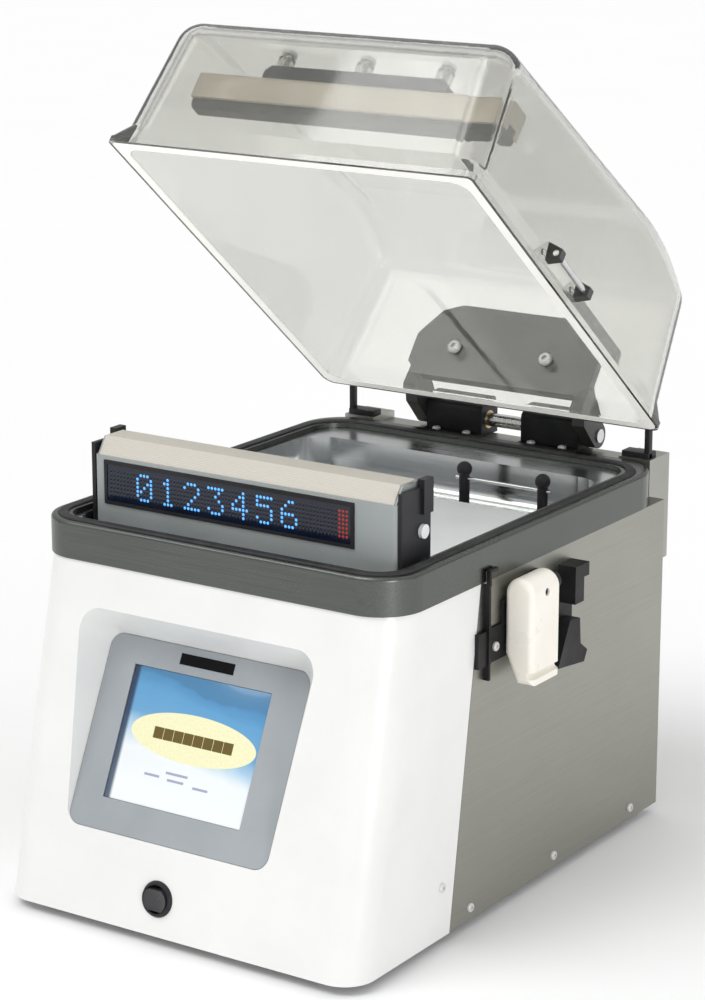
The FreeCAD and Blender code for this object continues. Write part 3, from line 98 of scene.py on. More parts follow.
class Finish:
    """One procedural material: a Principled shader, and helpers that add its patterns."""

    def __init__(self, name, colour, roughness, metallic=0.0, **sockets):
        self.material = bpy.data.materials.new(name)
        self.material.use_nodes = True
        tree = self.material.node_tree
        self.nodes = tree.nodes
        self.links = tree.links
        self.shader = self.nodes["Principled BSDF"]
        self.place = self.nodes.new("ShaderNodeTexCoord").outputs["Object"]
        self.set("Base Color", (*colour, 1.0))
        self.set("Roughness", roughness)
        self.set("Metallic", metallic)
        for socket, value in sockets.items():
            self.set(socket.replace("_", " "), value)
        self.relief = None

    def set(self, socket, value):
        """Set a shader socket to one value."""
        self.shader.inputs[socket].default_value = value

    def stretched(self, scale):
        """The object's own coordinates, scaled along each axis."""
        mapping = self.nodes.new("ShaderNodeMapping")
        mapping.inputs["Scale"].default_value = scale
        self.links.new(self.place, mapping.inputs["Vector"])
        return mapping.outputs["Vector"]

    def noise(self, scale, detail=3.0, stretch=(1, 1, 1), roughness=0.55):
        """Cloudy noise, 0 to 1."""
        node = self.nodes.new("ShaderNodeTexNoise")
        node.inputs["Scale"].default_value = scale
        node.inputs["Detail"].default_value = detail
        node.inputs["Roughness"].default_value = roughness
        self.links.new(self.stretched(stretch), node.inputs["Vector"])
        return node.outputs["Fac"]

    def waves(self, scale, direction):
        """Straight parallel bands, 0 to 1."""
        node = self.nodes.new("ShaderNodeTexWave")
        node.bands_direction = direction
        node.inputs["Scale"].default_value = scale
        self.links.new(self.place, node.inputs["Vector"])
        return node.outputs["Fac"]

    def joined(self, operation, first, second):
        """One arithmetic step on two sockets or numbers."""
        node = self.nodes.new("ShaderNodeMath")
        node.operation = operation
        for index, value in enumerate((first, second)):
            if isinstance(value, (int, float)):
                node.inputs[index].default_value = value
            else:
                self.links.new(value, node.inputs[index])
        return node.outputs["Value"]

    def ranged(self, fac, low, high, start=0.3, end=0.7):
        """Map start to end onto low to high."""
        node = self.nodes.new("ShaderNodeMapRange")
        node.inputs["From Min"].default_value = start
        node.inputs["From Max"].default_value = end
        node.inputs["To Min"].default_value = low
        node.inputs["To Max"].default_value = high
        self.links.new(fac, node.inputs["Value"])
        return node.outputs["Result"]

    def blended(self, fac, low, high, start=0.3, end=0.7):
        """A colour ramp between two colours."""
        return self.stepped(fac, ((start, low), (end, high)))

    def stepped(self, fac, steps):
        """A colour ramp through any number of (position, colour) steps."""
        node = self.nodes.new("ShaderNodeValToRGB")
        fill_ramp(node, steps)
        self.links.new(fac, node.inputs["Fac"])
        return node.outputs["Color"]

    def product(self, first, second):
        """Two colours multiplied."""
        node = self.nodes.new("ShaderNodeMix")
        node.data_type = "RGBA"
        node.blend_type = "MULTIPLY"
        node.inputs["Factor"].default_value = 1.0
        self.links.new(first, node.inputs["A"])
        self.links.new(second, node.inputs["B"])
        return node.outputs["Result"]

    def mottle(self, fac, low, high, start=0.3, end=0.7):
        """Vary the base colour by a pattern."""
        self.links.new(self.blended(fac, low, high, start, end), self.shader.inputs["Base Color"])
        return self

    def shine(self, fac, low, high, start=0.3, end=0.7):
        """Vary the roughness by a pattern."""
        self.links.new(self.ranged(fac, low, high, start, end), self.shader.inputs["Roughness"])
        return self

    def bump(self, height, depth_mm, strength=1.0):
        """Add a relief on top of any relief that is there already."""
        node = self.nodes.new("ShaderNodeBump")
        node.inputs["Strength"].default_value = strength
        node.inputs["Distance"].default_value = depth_mm * MM
        self.links.new(height, node.inputs["Height"])
        if self.relief:
            self.links.new(self.relief, node.inputs["Normal"])
        self.relief = node.outputs["Normal"]
        self.links.new(self.relief, self.shader.inputs["Normal"])
        return self


def moulded(name, dark, light, roughness, grain=0.02, **sockets):
    """Moulded plastic: faint mottling, uneven gloss and a fine pebbled skin."""
    made = Finish(name, light, roughness, **sockets)
    made.mottle(made.noise(14.0, 4.0), dark, light)
    made.shine(made.noise(45.0, 3.0), roughness - 0.05, roughness + 0.07)
    return made.bump(made.noise(1500.0, 2.0), grain).bump(made.noise(60.0), 0.03, 0.4)


def brushed(name, dark, light, roughness, along, depth=0.012):
    """Metal with fine straight brush lines along one axis, and faint handling marks."""
    stretch = [140.0, 140.0, 140.0]
    stretch[along] = 1.5
    made = Finish(name, light, roughness, metallic=1.0)
    lines = made.noise(8.0, 6.0, stretch, 0.65)
    made.mottle(lines, dark, light, 0.25, 0.75)
    marks = made.noise(9.0, 4.0)
    made.shine(made.joined("ADD", lines, marks), roughness - 0.07, roughness + 0.12, 0.7, 1.3)
    return made.bump(lines, depth)


def painted(name, dark, light, roughness, **sockets):
    """Coated metal with a slight orange-peel skin and a few duller rubbed patches."""
    made = Finish(name, light, roughness, metallic=0.25, **sockets)
    made.mottle(made.noise(30.0, 5.0), dark, light)
    made.shine(made.noise(22.0, 4.0), roughness - 0.08, roughness + 0.12)
    return made.bump(made.noise(420.0, 2.0), 0.04)


def rubber(name, dark, light, roughness=0.62):
    """Dull rubber with a fine matt skin."""
    made = Finish(name, light, roughness)
    made.mottle(made.noise(70.0, 4.0), dark, light)
    made.shine(made.noise(30.0), roughness - 0.08, roughness + 0.08)
    return made.bump(made.noise(900.0, 3.0), 0.05)


def clear_acrylic():
    """Cast sheet with a slight warm haze; long paths inside it, as at its edges, look darker."""
    made = Finish("acrylic", (0.81, 0.81, 0.775), 0.02, Transmission_Weight=0.955, IOR=1.49)
    made.mottle(made.noise(6.0, 2.0), (0.79, 0.79, 0.755), (0.83, 0.83, 0.8))
    made.shine(made.noise(18.0, 5.0), 0.015, 0.06)
    absorption = made.nodes.new("ShaderNodeVolumeAbsorption")
    absorption.inputs["Color"].default_value = (0.62, 0.64, 0.6, 1.0)
    absorption.inputs["Density"].default_value = 9.0
    output = made.nodes["Material Output"]
    made.links.new(absorption.outputs["Volume"], output.inputs["Volume"])
    return made.bump(made.noise(8.0, 1.0), 0.06, 0.5)


def sight_glass():
    """The pump's round window, with amber oil behind it."""
    made = Finish("sight_glass", (0.9, 0.75, 0.4), 0.05, Transmission_Weight=0.8, IOR=1.45)
    return made.bump(made.noise(40.0), 0.02)


def frosted_acrylic_painted_glow():
    """The sawn and sanded face of the lid's rim: white, with fine saw marks, and a faint emission
    that is a painted glow standing in for light caught in the sheet's edge.
    """
    # The emission is painted light: the rim glows as if it were a lamp, standing in for the bright
    # line of light in the sawn edge.
    made = Finish("frosted_acrylic_painted_glow", (0.85, 0.84, 0.8), 0.4,
                  Emission_Color=(0.9, 0.89, 0.84, 1.0), Emission_Strength=0.26)
    made.mottle(made.noise(30.0, 4.0), (0.79, 0.785, 0.745), (0.88, 0.875, 0.84))
    return made.bump(made.noise(300.0, 4.0, (1.0, 8.0, 1.0)), 0.03)


def glass_cloth():
    """Coated glass cloth tape: a fine square weave."""
    made = Finish("glass_cloth", (0.66, 0.63, 0.56), 0.5)
    weave = made.joined("MULTIPLY", made.waves(430.0, "X"), made.waves(430.0, "Y"))
    made.mottle(weave, (0.56, 0.53, 0.46), (0.72, 0.69, 0.62), 0.0, 0.8)
    return made.bump(weave, 0.12)


def lit(name, colour, strength):
    """A surface that glows a little in its own colour."""
    made = Finish(name, colour, 0.3, Emission_Color=(*colour, 1.0), Emission_Strength=strength)
    made.mottle(made.noise(500.0), [0.9 * c for c in colour], colour)
    return made.bump(made.noise(900.0), 0.004)


def screen_picture(width, height):
    """A generic start page: blue sky above, fading to white below, drawn in the panel's plane."""
    made = Finish("screen_picture", (0.5, 0.6, 0.7), 0.14, Coat_Weight=0.3)
    axes = made.nodes.new("ShaderNodeSeparateXYZ")
    made.links.new(made.place, axes.inputs["Vector"])
    clouds = made.noise(26.0, 3.0, (0.7, 1.3, 1.0))
    wavy = made.joined("ADD", axes.outputs["Y"], made.ranged(clouds, -0.004, 0.004))
    shade = made.joined("MULTIPLY", axes.outputs["X"], 0.14)
    rise = made.joined("DIVIDE", made.joined("ADD", wavy, shade), height)
    steps = ((0.0, (0.74, 0.76, 0.76)), (0.44, (0.7, 0.74, 0.76)), (0.58, (0.36, 0.52, 0.65)),
             (0.68, (0.12, 0.31, 0.52)), (0.88, (0.09, 0.28, 0.5)), (0.98, (0.06, 0.22, 0.42)),
             (1.0, (0.05, 0.18, 0.34)))
    picture = made.stepped(rise, steps)
    sides = made.joined("DIVIDE", axes.outputs["X"], width)
    edge = made.stepped(sides, ((0.0, (0.04, 0.07, 0.12)), (0.035, (0.1, 0.14, 0.2)),
                                (0.055, (1.0, 1.0, 1.0))))
    colour = made.product(picture, edge)
    made.links.new(colour, made.shader.inputs["Base Color"])
    made.links.new(colour, made.shader.inputs["Emission Color"])
    made.set("Emission Strength", 0.22)
    return made.bump(made.noise(700.0), 0.004)


FINISHES = {
    "white_cover": moulded("white_cover", (0.81, 0.81, 0.8), (0.855, 0.855, 0.84), 0.33, 0.01,
                           Coat_Weight=0.15, Coat_Roughness=0.2),
    "side_steel": brushed("side_steel", (0.315, 0.315, 0.28), (0.385, 0.385, 0.345), 0.36, 1),
    "rear_steel": brushed("rear_steel", (0.36, 0.36, 0.33), (0.44, 0.44, 0.4), 0.36, 0),
    "rim_metal": brushed("rim_metal", (0.1, 0.108, 0.1), (0.15, 0.158, 0.147), 0.28, 0, 0.006),
    "stainless": brushed("stainless", (0.62, 0.64, 0.65), (0.78, 0.79, 0.79), 0.2, 0, 0.008),
    "turned_steel": brushed("turned_steel", (0.55, 0.56, 0.56), (0.75, 0.75, 0.74), 0.24, 2,
                            0.006),
    "galvanised": painted("galvanised", (0.42, 0.43, 0.44), (0.58, 0.59, 0.6), 0.42),
    "black_rubber": rubber("black_rubber", (0.012, 0.012, 0.013), (0.032, 0.032, 0.034)),
    "zinc": painted("zinc", (0.62, 0.62, 0.6), (0.78, 0.78, 0.76), 0.28),
    "bezel_grey": moulded("bezel_grey", (0.32, 0.35, 0.37), (0.37, 0.4, 0.42), 0.38, 0.03),
    "black_plastic": moulded("black_plastic", (0.012, 0.012, 0.014), (0.026, 0.026, 0.029), 0.4,
                             0.03, Specular_IOR_Level=0.25),
    "smoked_window": moulded("smoked_window", (0.002, 0.002, 0.003), (0.004, 0.004, 0.006), 0.3,
                             0.004, Specular_IOR_Level=0.15),
    "rocker_plastic": moulded("rocker_plastic", (0.02, 0.02, 0.022), (0.04, 0.04, 0.043), 0.25),
    "acrylic": clear_acrylic(),
    "frosted_acrylic_painted_glow": frosted_acrylic_painted_glow(),
    "white_plate": moulded("white_plate", (0.8, 0.82, 0.83), (0.87, 0.88, 0.89), 0.46, 0.04),
    "lever_plastic": moulded("ivory_plastic", (0.9, 0.86, 0.77), (0.95, 0.92, 0.85), 0.3, 0.015),
    "seal_grey": moulded("seal_grey", (0.31, 0.34, 0.335), (0.37, 0.4, 0.395), 0.36, 0.02),
    "heater": brushed("heater", (0.5, 0.46, 0.4), (0.7, 0.66, 0.58), 0.3, 0),
    "glass_cloth": glass_cloth(),
    "press_beige": painted("press_beige", (0.63, 0.565, 0.455), (0.72, 0.655, 0.545), 0.42),
    "grey_silicone": rubber("grey_silicone", (0.07, 0.068, 0.06), (0.11, 0.108, 0.095), 0.55),
    "black_metal": painted("black_metal", (0.01, 0.01, 0.011), (0.028, 0.028, 0.03), 0.42,
                           Specular_IOR_Level=0.25),
    "cast_grey": painted("cast_grey", (0.022, 0.023, 0.022), (0.065, 0.067, 0.064), 0.34),
    "bronze": brushed("bronze", (0.42, 0.3, 0.14), (0.6, 0.45, 0.24), 0.3, 2),
    "led_lens": moulded("led_lens", (0.003, 0.006, 0.018), (0.006, 0.012, 0.032), 0.12, 0.002),
    "enamel": painted("enamel", (0.19, 0.21, 0.24), (0.27, 0.3, 0.33), 0.35),
    "sight_glass": sight_glass(),
    "circuit": moulded("circuit", (0.02, 0.13, 0.06), (0.04, 0.22, 0.1), 0.35, 0.05),
    "dark_moulding": moulded("dark_moulding", (0.03, 0.03, 0.033), (0.055, 0.055, 0.06), 0.45,
                             0.04),
}

NODE_FINISH = {
    "white_cover": ["front_cover"],
    "side_steel": ["left_side_panel", "right_side_panel"],
    "rear_steel": ["rear_panel", "hinge_housing"],
    "rim_metal": ["rim_trim"],
    "stainless": ["chamber_tub"],
    "turned_steel": ["suction_port", "bag_stop_rod", "guide_pins", "keeper_rod", "latch_pin",
                     "hinge_shaft", "exhaust_spigot", "motor_rotor", "motor_bearings"],
    "galvanised": ["base_tray"],
    "black_rubber": ["rubber_feet", "lid_gasket", "lift_bladders", "vacuum_hoses"],
    "zinc": ["case_screws", "lid_bolts"],
    "bezel_grey": ["control_bezel"],
    "black_plastic": ["display_module", "seal_end_caps", "display_frame", "power_switch_bezel",
                      "bag_stop_posts"],
    "smoked_window": ["status_window"],
    "rocker_plastic": ["power_rocker"],
    "acrylic": ["lid_dome"],
    "white_plate": ["filler_plate", "wire_terminals"],
    "lever_plastic": ["latch_lever"],
    "seal_grey": ["seal_housing", "seal_bar_core"],
    "heater": ["heating_wire"],
    "glass_cloth": ["seal_tape"],
    "press_beige": ["press_bar"],
    "grey_silicone": ["press_pad"],
    "black_metal": ["press_bracket", "hinge_brackets", "latch_bracket", "torsion_springs"],
    "cast_grey": ["hinge_plate", "lid_keeper"],
    "bronze": ["hinge_bushes"],
    "led_lens": ["display_lens"],
    "enamel": ["vacuum_pump", "motor_shell", "mist_filter", "valve_block", "seal_transformer"],
    "sight_glass": ["oil_sight_glass"],
    "circuit": ["control_board"],
    "dark_moulding": ["motor_fan", "fan_cowl", "power_inlet", "touch_screen"],
}


def paint(piece, finish):
    """Give a carried-over node its finish."""
    piece.data.materials.clear()
    piece.data.materials.append(FINISHES[finish].material)


for finish_name, node_names in NODE_FINISH.items():
    for node_name in node_names:
        paint(frame["nodes"][node_name], finish_name)

# ---------------------------------------------------------------- mesh helpers


def joint_named(name):
    """The frame's row for one joint."""
    return next(j for j in frame["joints"] if j["name"] == name)


def piece_from(name, shape, body, finish, replaced=(), smooth_deg=35):
    """Turn a bmesh into a piece that rides on a body; the finish is a Finish."""
    mesh = bpy.data.meshes.new(name)
    shape.to_mesh(mesh)
    shape.free()
    piece = bpy.data.objects.new(name, mesh)
    bpy.context.scene.collection.objects.link(piece)
    mesh.materials.append(finish.material)
    mesh.shade_smooth()
    mesh.set_sharp_from_angle(angle=math.radians(smooth_deg))
    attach(piece, body)
    if replaced:
        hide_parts(*replaced)
    return piece


def add_block(shape, low, high, edge=0.0, segments=3):
    """Add an axis-aligned block with rounded edges to a bmesh."""
    made = bmesh.ops.create_cube(shape, size=1.0)["verts"]
    low, high = Vector(low), Vector(high)
    centre, size = (low + high) / 2, high - low
    for vert in made:
        vert.co = centre + Vector(c * s for c, s in zip(vert.co, size))
    if edge:
        edges = list({e for v in made for e in v.link_edges})
        bmesh.ops.bevel(shape, geom=edges, offset=edge, segments=segments, profile=0.5,
                        affect="EDGES", clamp_overlap=True)


def ring_of(shape, centre, across, up, radii, sides):
    """A ring of new vertices round a centre, in the plane of two directions."""
    turns = (math.tau * k / sides for k in range(sides))
    return [shape.verts.new(centre + across * radii[0] * math.cos(a) + up * radii[1] * math.sin(a))
            for a in turns]


def add_band(shape, first, second):
    """Faces between two rings with the same number of vertices."""
    for k in range(len(first)):
        after = (k + 1) % len(first)
        shape.faces.new((first[k], first[after], second[after], second[k]))


def add_tube(shape, path, radius, sides=12):
    """Add a round wire along a list of points, closed at both ends."""
    rings = []
    for index, point in enumerate(path):
        ahead = path[min(index + 1, len(path) - 1)]
        behind = path[max(index - 1, 0)]
        turn = (ahead - behind).to_track_quat("Z", "Y")
        ring = []
        for side in range(sides):
            angle = math.tau * side / sides
            offset = Vector((math.cos(angle), math.sin(angle), 0)) * radius
            ring.append(shape.verts.new(point + turn @ offset))
        rings.append(ring)
    for first, second in zip(rings, rings[1:]):
        shift = min(range(sides), key=lambda k: (second[k].co - first[0].co).length)
        for side in range(sides):
            after = (side + 1) % sides
            shape.faces.new((first[side], first[after], second[(after + shift) % sides],
                             second[(side + shift) % sides]))
    shape.faces.new(reversed(rings[0]))
    shape.faces.new(rings[-1])


# ---------------------------------------------------------------- seal bar's lit strip

DOT_PITCH = 3.3 * MM
DOT_R = 1.25 * MM
DOT_H = 0.5 * MM
DOT_SIDES = 10
DOT_LIFT = 0.02 * MM
STRIP_ROWS = 7
DIGIT_PITCH = 7
DARK_COLUMNS = 8
RED_COLUMNS = 3
DIGIT_ROWS = {
    "0": (".###.", "#...#", "#..##", "#.#.#", "##..#", "#...#", ".###."),
    "1": ("..#..", ".##..", "..#..", "..#..", "..#..", "..#..", ".###."),
    "2": (".###.", "#...#", "....#", "...#.", "..#..", ".#...", "#####"),
    "3": ("#####", "...#.", "..#..", "...#.", "....#", "#...#", ".###."),
    "4": ("...#.", "..##.", ".#.#.", "#..#.", "#####", "...#.", "...#."),
    "5": ("#####", "#....", "####.", "....#", "....#", "#...#", ".###."),
    "6": ("..##.", ".#...", "#....", "####.", "#...#", "#...#", ".###."),
}
SHOWN = "0123456"


def lit_cells(first_column):
    """The (column, row) cells that the shown digits light; row 0 is the bottom one."""
    cells = set()
    for place, digit in enumerate(SHOWN):
        for row, line in enumerate(reversed(DIGIT_ROWS[digit])):
            for column, mark in enumerate(line):
                if mark == "#":
                    cells.add((first_column + DIGIT_PITCH * place + column, row))
    return cells


def add_dot(shape, centre, radius, height):
    """A small domed lamp facing -Y."""
    across, up = Vector((1, 0, 0)), Vector((0, 0, 1))
    rings = []
    for share, lift in ((1.0, 0.0), (0.75, 0.66), (0.35, 0.94)):
        raised = centre + Vector((0, -height * lift, 0))
        radii = (radius * share, radius * share)
        rings.append(ring_of(shape, raised, across, up, radii, DOT_SIDES))
    for outer, inner in zip(rings, rings[1:]):
        add_band(shape, outer, inner)
    shape.faces.new(rings[-1])
    shape.faces.new(reversed(rings[0]))


def led_strip():
    """The strip's grid of dots: digits lit in blue, and a red block at its right end."""
    low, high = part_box("display_lens")
    columns = int((high.x - low.x - DOT_PITCH) / DOT_PITCH)
    start_x = (low.x + high.x) / 2 - DOT_PITCH * (columns - 1) / 2
    start_z = (low.z + high.z) / 2 - DOT_PITCH * (STRIP_ROWS - 1) / 2
    lit_set = lit_cells(DARK_COLUMNS)
    shapes = {"lit": bmesh.new(), "unlit": bmesh.new(), "red": bmesh.new()}
    for column in range(columns):
        for row in range(STRIP_ROWS):
            centre = Vector((start_x + DOT_PITCH * column, low.y + DOT_LIFT,
                             start_z + DOT_PITCH * row))
            kind = "lit" if (column, row) in lit_set else "unlit"
            if column >= columns - RED_COLUMNS:
                kind = "red"
            add_dot(shapes[kind], centre, DOT_R, DOT_H)
    finishes = {"lit": lit("lit_dot", (0.07, 0.28, 0.66), 1.5), "unlit": FINISHES["led_lens"],
                "red": lit("red_dot", (0.35, 0.02, 0.015), 0.12)}
    for kind, shape in shapes.items():
        piece_from("display_dots_" + kind, shape, "seal_bar", finishes[kind])


led_strip()

# ---------------------------------------------------------------- touch screen


def panel_plane(node):
    """The (matrix, width, height) of a flat node's front face: local x right, y up, z outward,
    with the origin at its lower left corner."""
    mesh = frame["nodes"][node].data
    front = max(mesh.polygons, key=lambda p: p.area * max(0.0, -p.normal.y))
    outward = front.normal.copy()
    right = Vector((1, 0, 0))
    up = outward.cross(right)
    rows = Matrix((right, up, outward))
    local = [rows @ v.co for v in mesh.vertices]
    low = Vector(min(p[k] for p in local) for k in range(3))
    high = Vector(max(p[k] for p in local) for k in range(3))
    turn = rows.transposed()
    corner = turn @ Vector((low.x, low.y, high.z))
    return Matrix.Translation(corner) @ turn.to_4x4(), high.x - low.x, high.y - low.y


def add_oval(shape, centre, radii, low, high, sides=64):
    """A thin oval plate between two heights in a panel's plane."""
    across, up = Vector((1, 0, 0)), Vector((0, 1, 0))
    upper, lower = (ring_of(shape, Vector((*centre, height)), across, up, radii, sides)
                    for height in (high, low))
    shape.faces.new(upper)
    shape.faces.new(reversed(lower))
    add_band(shape, lower, upper)


def on_plane(piece, matrix):
    """Put a piece drawn in a panel's own plane on that panel."""
    body = body_of(piece)[0]
    piece.parent = None
    piece.matrix_world = matrix
    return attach(piece, body)


# Everything on the picture is placed by shares of the screen's width and height.
SCREEN_THICK = 2.4 * MM
OVAL_MIDDLE = (0.535, 0.545)
OVAL_RADII = (0.455, 0.18)
OVAL_THICK = 0.06 * MM
BAND_BARS = 8
BAND_WIDTH = 0.58
BAND_HALF_HEIGHT = 0.043
BAR_GAP = 0.02
BAR_LAYER = (0.02 * MM, 0.12 * MM)
MARKS = ((0.25, 0.36, 0.225), (0.4, 0.56, 0.265), (0.42, 0.54, 0.215), (0.61, 0.72, 0.2))
MARK_HEIGHT = 0.018
MARK_THICK = 0.06 * MM


def oval_shape(width, height):
    """The plain oval in the middle of the screen."""
    shape = bmesh.new()
    add_oval(shape, (OVAL_MIDDLE[0] * width, OVAL_MIDDLE[1] * height),
             (OVAL_RADII[0] * width, OVAL_RADII[1] * height), 0, OVAL_THICK)
    return shape


def bars_shape(width, height):
    """The row of plain bars across the oval."""
    shape = bmesh.new()
    middle = (OVAL_MIDDLE[0] * width, OVAL_MIDDLE[1] * height)
    half = BAND_HALF_HEIGHT * height
    pitch = BAND_WIDTH * width / BAND_BARS
    for step in range(BAND_BARS):
        left = middle[0] + (step - BAND_BARS / 2) * pitch
        add_block(shape, (left + BAR_GAP * pitch, middle[1] - half, BAR_LAYER[0]),
                  (left + (1 - BAR_GAP) * pitch, middle[1] + half, BAR_LAYER[1]), 0.04 * MM, 1)
    return shape


def marks_shape(width, height):
    """The four short dashes under the oval."""
    shape = bmesh.new()
    for left, right, rise in MARKS:
        add_block(shape, (left * width, rise * height, 0),
                  (right * width, (rise + MARK_HEIGHT) * height, MARK_THICK), 0.02 * MM, 1)
    return shape


def touch_screen():
    """The screen's plate with its picture, in place of the CAD plate."""
    matrix, width, height = panel_plane("touch_screen")
    plate = bmesh.new()
    add_block(plate, (0, 0, -SCREEN_THICK), (width, height, 0), 0.4 * MM, 2)
    picture = screen_picture(width, height)
    pieces = [piece_from("screen_plate", plate, "casing", picture, ["touch_screen"])]
    layers = ((oval_shape, "oval", "cream", (0.8, 0.78, 0.5), 0.15),
              (bars_shape, "bars", "brown", (0.13, 0.09, 0.015), 0.08),
              (marks_shape, "marks", "grey", (0.35, 0.37, 0.5), 0.1))
    for make, name, tone, colour, glow in layers:
        finish = lit("screen_" + tone, colour, glow)
        shape = make(width, height)
        pieces.append(piece_from("screen_" + name, shape, "casing", finish))
    for piece in pieces:
        on_plane(piece, matrix)


touch_screen()

# ---------------------------------------------------------------- hinge springs

SPRING_TURNS = 9
STEPS_PER_TURN = 28
SPRING_WIRE_R = 1.75 * MM
SPRING_SPAN = 43 * MM
BRACKET_SHEET = 2.6 * MM


def hinge_springs():
    """Two real coils in place of the plain sleeves, each with a leg down to its bracket."""
    low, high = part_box("torsion_springs")
    base_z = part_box("hinge_brackets")[0].z
    hinge = Vector(joint_named("lid_hinge")["pos_m"])
    coil_r = (high.z - low.z) / 2 - SPRING_WIRE_R
    outer = high.x - hinge.x
    inner = outer - SPRING_SPAN
    steps = SPRING_TURNS * STEPS_PER_TURN
    shape = bmesh.new()
    for side in (-1, 1):
        path = []
        for step in range(steps + 1):
            angle = math.tau * step / STEPS_PER_TURN
            along = inner + SPRING_WIRE_R + (outer - inner - 2 * SPRING_WIRE_R) * step / steps
            path.append(hinge + Vector((side * along, coil_r * math.cos(angle),
                                        coil_r * math.sin(angle))))
        foot = Vector((path[0].x, path[0].y, base_z + BRACKET_SHEET + SPRING_WIRE_R))
        add_tube(shape, [foot] + path, SPRING_WIRE_R)
    bmesh.ops.recalc_face_normals(shape, faces=shape.faces)
    piece_from("spring_coils", shape, "casing", FINISHES["black_metal"],
               ["torsion_springs"])


hinge_springs()

# ---------------------------------------------------------------- small fittings


PLUG_R = 2.9 * MM
PLUG_BORE_R = 1.3 * MM
PLUG_DEPTH = 2.0 * MM
PLUG_CHAMFER = (0.3 * MM, 0.2 * MM)
PLUG_SUNK = 1.2 * MM
PLUG_SIDES = 24

SWITCH_INSET = 2.5 * MM
SWITCH_POST = (5 * MM, 6 * MM, 27 * MM)
SWITCH_FOOT = (26 * MM, 14 * MM, 5 * MM)
SWITCH_EDGE = 0.8 * MM


def lever_plug():
    """The dark plug that sits in the round recess of the latch lever."""
    low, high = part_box("latch_lever")
    pin_low, pin_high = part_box("latch_pin")
    face = Vector((high.x - PLUG_SUNK, (low.y + high.y) / 2, (pin_low.z + pin_high.z) / 2))
    outward = Vector((1, 0, 0))
    turn = outward.to_track_quat("Z", "Y")
    across, up = turn @ Vector((1, 0, 0)), turn @ Vector((0, 1, 0))
    shape = bmesh.new()
    profile = ((PLUG_R, PLUG_DEPTH), (PLUG_R, PLUG_CHAMFER[1]), (PLUG_R - PLUG_CHAMFER[0], 0.0),
               (PLUG_BORE_R, 0.0), (PLUG_BORE_R, PLUG_DEPTH / 2))
    rings = [ring_of(shape, face - outward * depth, across, up, (reach, reach), PLUG_SIDES)
             for reach, depth in profile]
    for first, second in zip(rings, rings[1:]):
        add_band(shape, first, second)
    shape.faces.new(reversed(rings[0]))
    shape.faces.new(rings[-1])
    piece_from("lever_plug", shape, "latch", FINISHES["dark_moulding"])


def lid_switches():
    """Two slim upright switches on the hinge housing that feel the lid."""
    low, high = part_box("hinge_housing")
    middle_x = (low.x + high.x) / 2
    shape = bmesh.new()
    for side in (-1, 1):
        outer = middle_x + side * (high.x - middle_x - SWITCH_INSET)
        for (long, wide, tall), front, sunk in ((SWITCH_POST, 3 * MM, 0.5 * MM),
                                                (SWITCH_FOOT, 2 * MM, 1 * MM)):
            left, right = sorted((outer, outer - side * long))
            add_block(shape, (left, low.y + front, high.z - sunk),
                      (right, low.y + front + wide, high.z + tall), SWITCH_EDGE)
    piece_from("lid_switches", shape, "casing", FINISHES["black_plastic"])


lever_plug()
lid_switches()

# ---------------------------------------------------------------- the lid's sanded rim, with a painted glow

RIM_SKIN = 0.25 * MM
RIM_SKIN_INSET = 0.2


def boundary_loops(shape):
    """The vertices on each open edge loop of a flat bmesh."""
    edges = {e for e in shape.edges if e.is_boundary}
    loops = []
    while edges:
        first = edges.pop()
        loop, queue = set(first.verts), list(first.verts)
        while queue:
            for edge in queue.pop().link_edges:
                if edge in edges:
                    edges.discard(edge)
                    fresh = set(edge.verts) - loop
                    loop |= fresh
                    queue.extend(fresh)
        loops.append(loop)
    return loops


def lid_rim_face():
    """A thin white skin on the flat face that closes on the gasket, short of its outer edge; its
    finish adds a painted glow.
    """
    tilt = math.radians(joint_named("lid_hinge")["range_deg"][1])
    outward = Vector((0, -math.sin(tilt), -math.cos(tilt)))
    shape = bmesh.new()
    shape.from_mesh(frame["nodes"]["lid_dome"].data)
    plane = max(v.co.dot(outward) for v in shape.verts)
    off_rim = [face for face in shape.faces
               if min(v.co.dot(outward) for v in face.verts) < plane - RIM_SKIN]
    bmesh.ops.delete(shape, geom=off_rim, context="FACES")
    bmesh.ops.remove_doubles(shape, verts=shape.verts, dist=0.01 * MM)
    middle = sum((v.co for v in shape.verts), Vector()) / len(shape.verts)
    loops = boundary_loops(shape)
    outer = max(loops, key=lambda loop: max((v.co - middle).length for v in loop))
    inner = [v.co.copy() for loop in loops if loop is not outer for v in loop]
    for vert in outer:
        nearest = min(inner, key=lambda point: (point - vert.co).length)
        vert.co = vert.co.lerp(nearest, RIM_SKIN_INSET)
    made = bmesh.ops.extrude_face_region(shape, geom=list(shape.faces))
    lifted = [g for g in made["geom"] if isinstance(g, bmesh.types.BMVert)]
    bmesh.ops.translate(shape, verts=lifted, vec=outward * RIM_SKIN)
    bmesh.ops.recalc_face_normals(shape, faces=shape.faces)
    # The skin's finish carries a painted glow: it emits light though it is no lamp.
    piece_from("lid_rim_face", shape, "lid", FINISHES["frosted_acrylic_painted_glow"], smooth_deg=20)


lid_rim_face()

# ---------------------------------------------------------------- floor, light, camera

CAMERA_AZIMUTH = 33.76
CAMERA_ELEVATION = 15.15
CAMERA_DISTANCE = 2.386
CAMERA_LENS = 105.97
CAMERA_SENSOR = 36.0
AIM_FROM_HINGE = Vector((0.0043, -0.2542, -0.0131))
FLOOR_REACH = 16.0

# How bright the world is at each height above the horizon.
SKY_LEVELS = ((0.0, 1.0), (0.08, 1.0), (0.14, 0.48), (0.55, 0.95))
SKY_STRENGTH = 0.86


def direction(azimuth_deg, elevation_deg):
    """From the object outwards; the azimuth turns from the front towards its right."""
    azimuth, elevation = math.radians(azimuth_deg), math.radians(elevation_deg)
    return Vector((math.sin(azimuth) * math.cos(elevation),
                   -math.cos(azimuth) * math.cos(elevation), math.sin(elevation)))


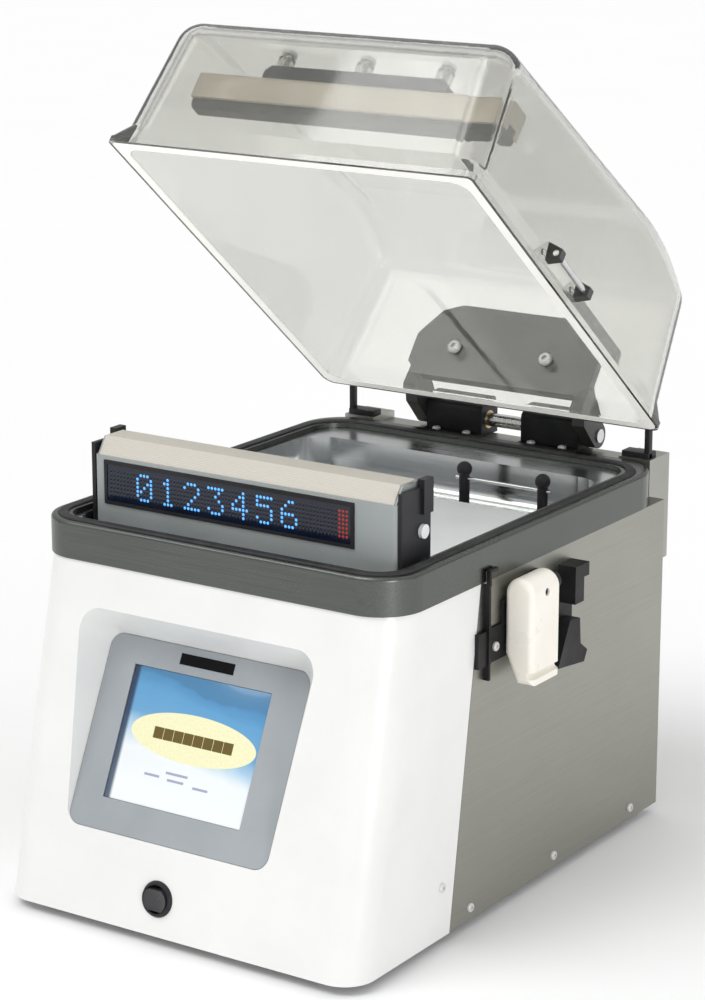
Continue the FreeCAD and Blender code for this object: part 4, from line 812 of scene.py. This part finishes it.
def camera():
    """The photograph's view."""
    aim = Vector(joint_named("lid_hinge")["pos_m"]) + AIM_FROM_HINGE
    back = direction(CAMERA_AZIMUTH, CAMERA_ELEVATION)
    data = bpy.data.cameras.new("camera")
    data.lens = CAMERA_LENS
    data.sensor_width = CAMERA_SENSOR
    data.clip_start = 0.05
    eye = bpy.data.objects.new("camera", data)
    eye.location = aim + back * CAMERA_DISTANCE
    eye.rotation_euler = (-back).to_track_quat("-Z", "Y").to_euler()
    bpy.context.scene.collection.objects.link(eye)
    bpy.context.scene.camera = eye


def floor():
    """A wide pale floor under the feet."""
    shape = bmesh.new()
    bmesh.ops.create_grid(shape, x_segments=2, y_segments=2, size=FLOOR_REACH)
    mesh = bpy.data.meshes.new("floor")
    shape.to_mesh(mesh)
    shape.free()
    ground = bpy.data.objects.new("floor", mesh)
    bpy.context.scene.collection.objects.link(ground)
    ground.location.z = CAD_BOX[0].z
    pale = Finish("pale_floor", (0.96, 0.96, 0.96), 0.95)
    pale.mottle(pale.noise(3.0), (0.955, 0.955, 0.955), (0.965, 0.965, 0.965))
    mesh.materials.append(pale.material)


def area_light(name, place, size, power):
    """A square lamp that points at the middle of the object."""
    data = bpy.data.lights.new(name, "AREA")
    data.size = size
    data.energy = power
    lamp = bpy.data.objects.new(name, data)
    lamp.location = place
    aim = (CAD_BOX[0] + CAD_BOX[1]) / 2 - lamp.location
    lamp.rotation_euler = aim.to_track_quat("-Z", "Y").to_euler()
    bpy.context.scene.collection.objects.link(lamp)


def sun(name, azimuth, elevation, strength, softness):
    """A far lamp with soft shadows, in the given direction from the object."""
    data = bpy.data.lights.new(name, "SUN")
    data.energy = strength
    data.angle = math.radians(softness)
    lamp = bpy.data.objects.new(name, data)
    towards = direction(azimuth, elevation)
    lamp.rotation_euler = (-towards).to_track_quat("-Z", "Y").to_euler()
    bpy.context.scene.collection.objects.link(lamp)


def surroundings():
    """A plain studio: white above and along the floor's far edge, greyer between."""
    world = bpy.data.worlds.new("studio")
    world.use_nodes = True
    nodes, links = world.node_tree.nodes, world.node_tree.links
    axes = nodes.new("ShaderNodeSeparateXYZ")
    links.new(nodes.new("ShaderNodeTexCoord").outputs["Generated"], axes.inputs["Vector"])
    ramp = nodes.new("ShaderNodeValToRGB")
    fill_ramp(ramp, [(height, (level, level, level)) for height, level in SKY_LEVELS])
    links.new(axes.outputs["Z"], ramp.inputs["Fac"])
    background = nodes["Background"]
    links.new(ramp.outputs["Color"], background.inputs["Color"])
    background.inputs["Strength"].default_value = SKY_STRENGTH
    bpy.context.scene.world = world


camera()
floor()
surroundings()
sun("key", azimuth=-35.0, elevation=58.0, strength=1.0, softness=35.0)
area_light("corner_strip", place=(2.4, -1.6, 0.45), size=0.7, power=16.0)
bpy.context.scene.view_settings.view_transform = "Standard"
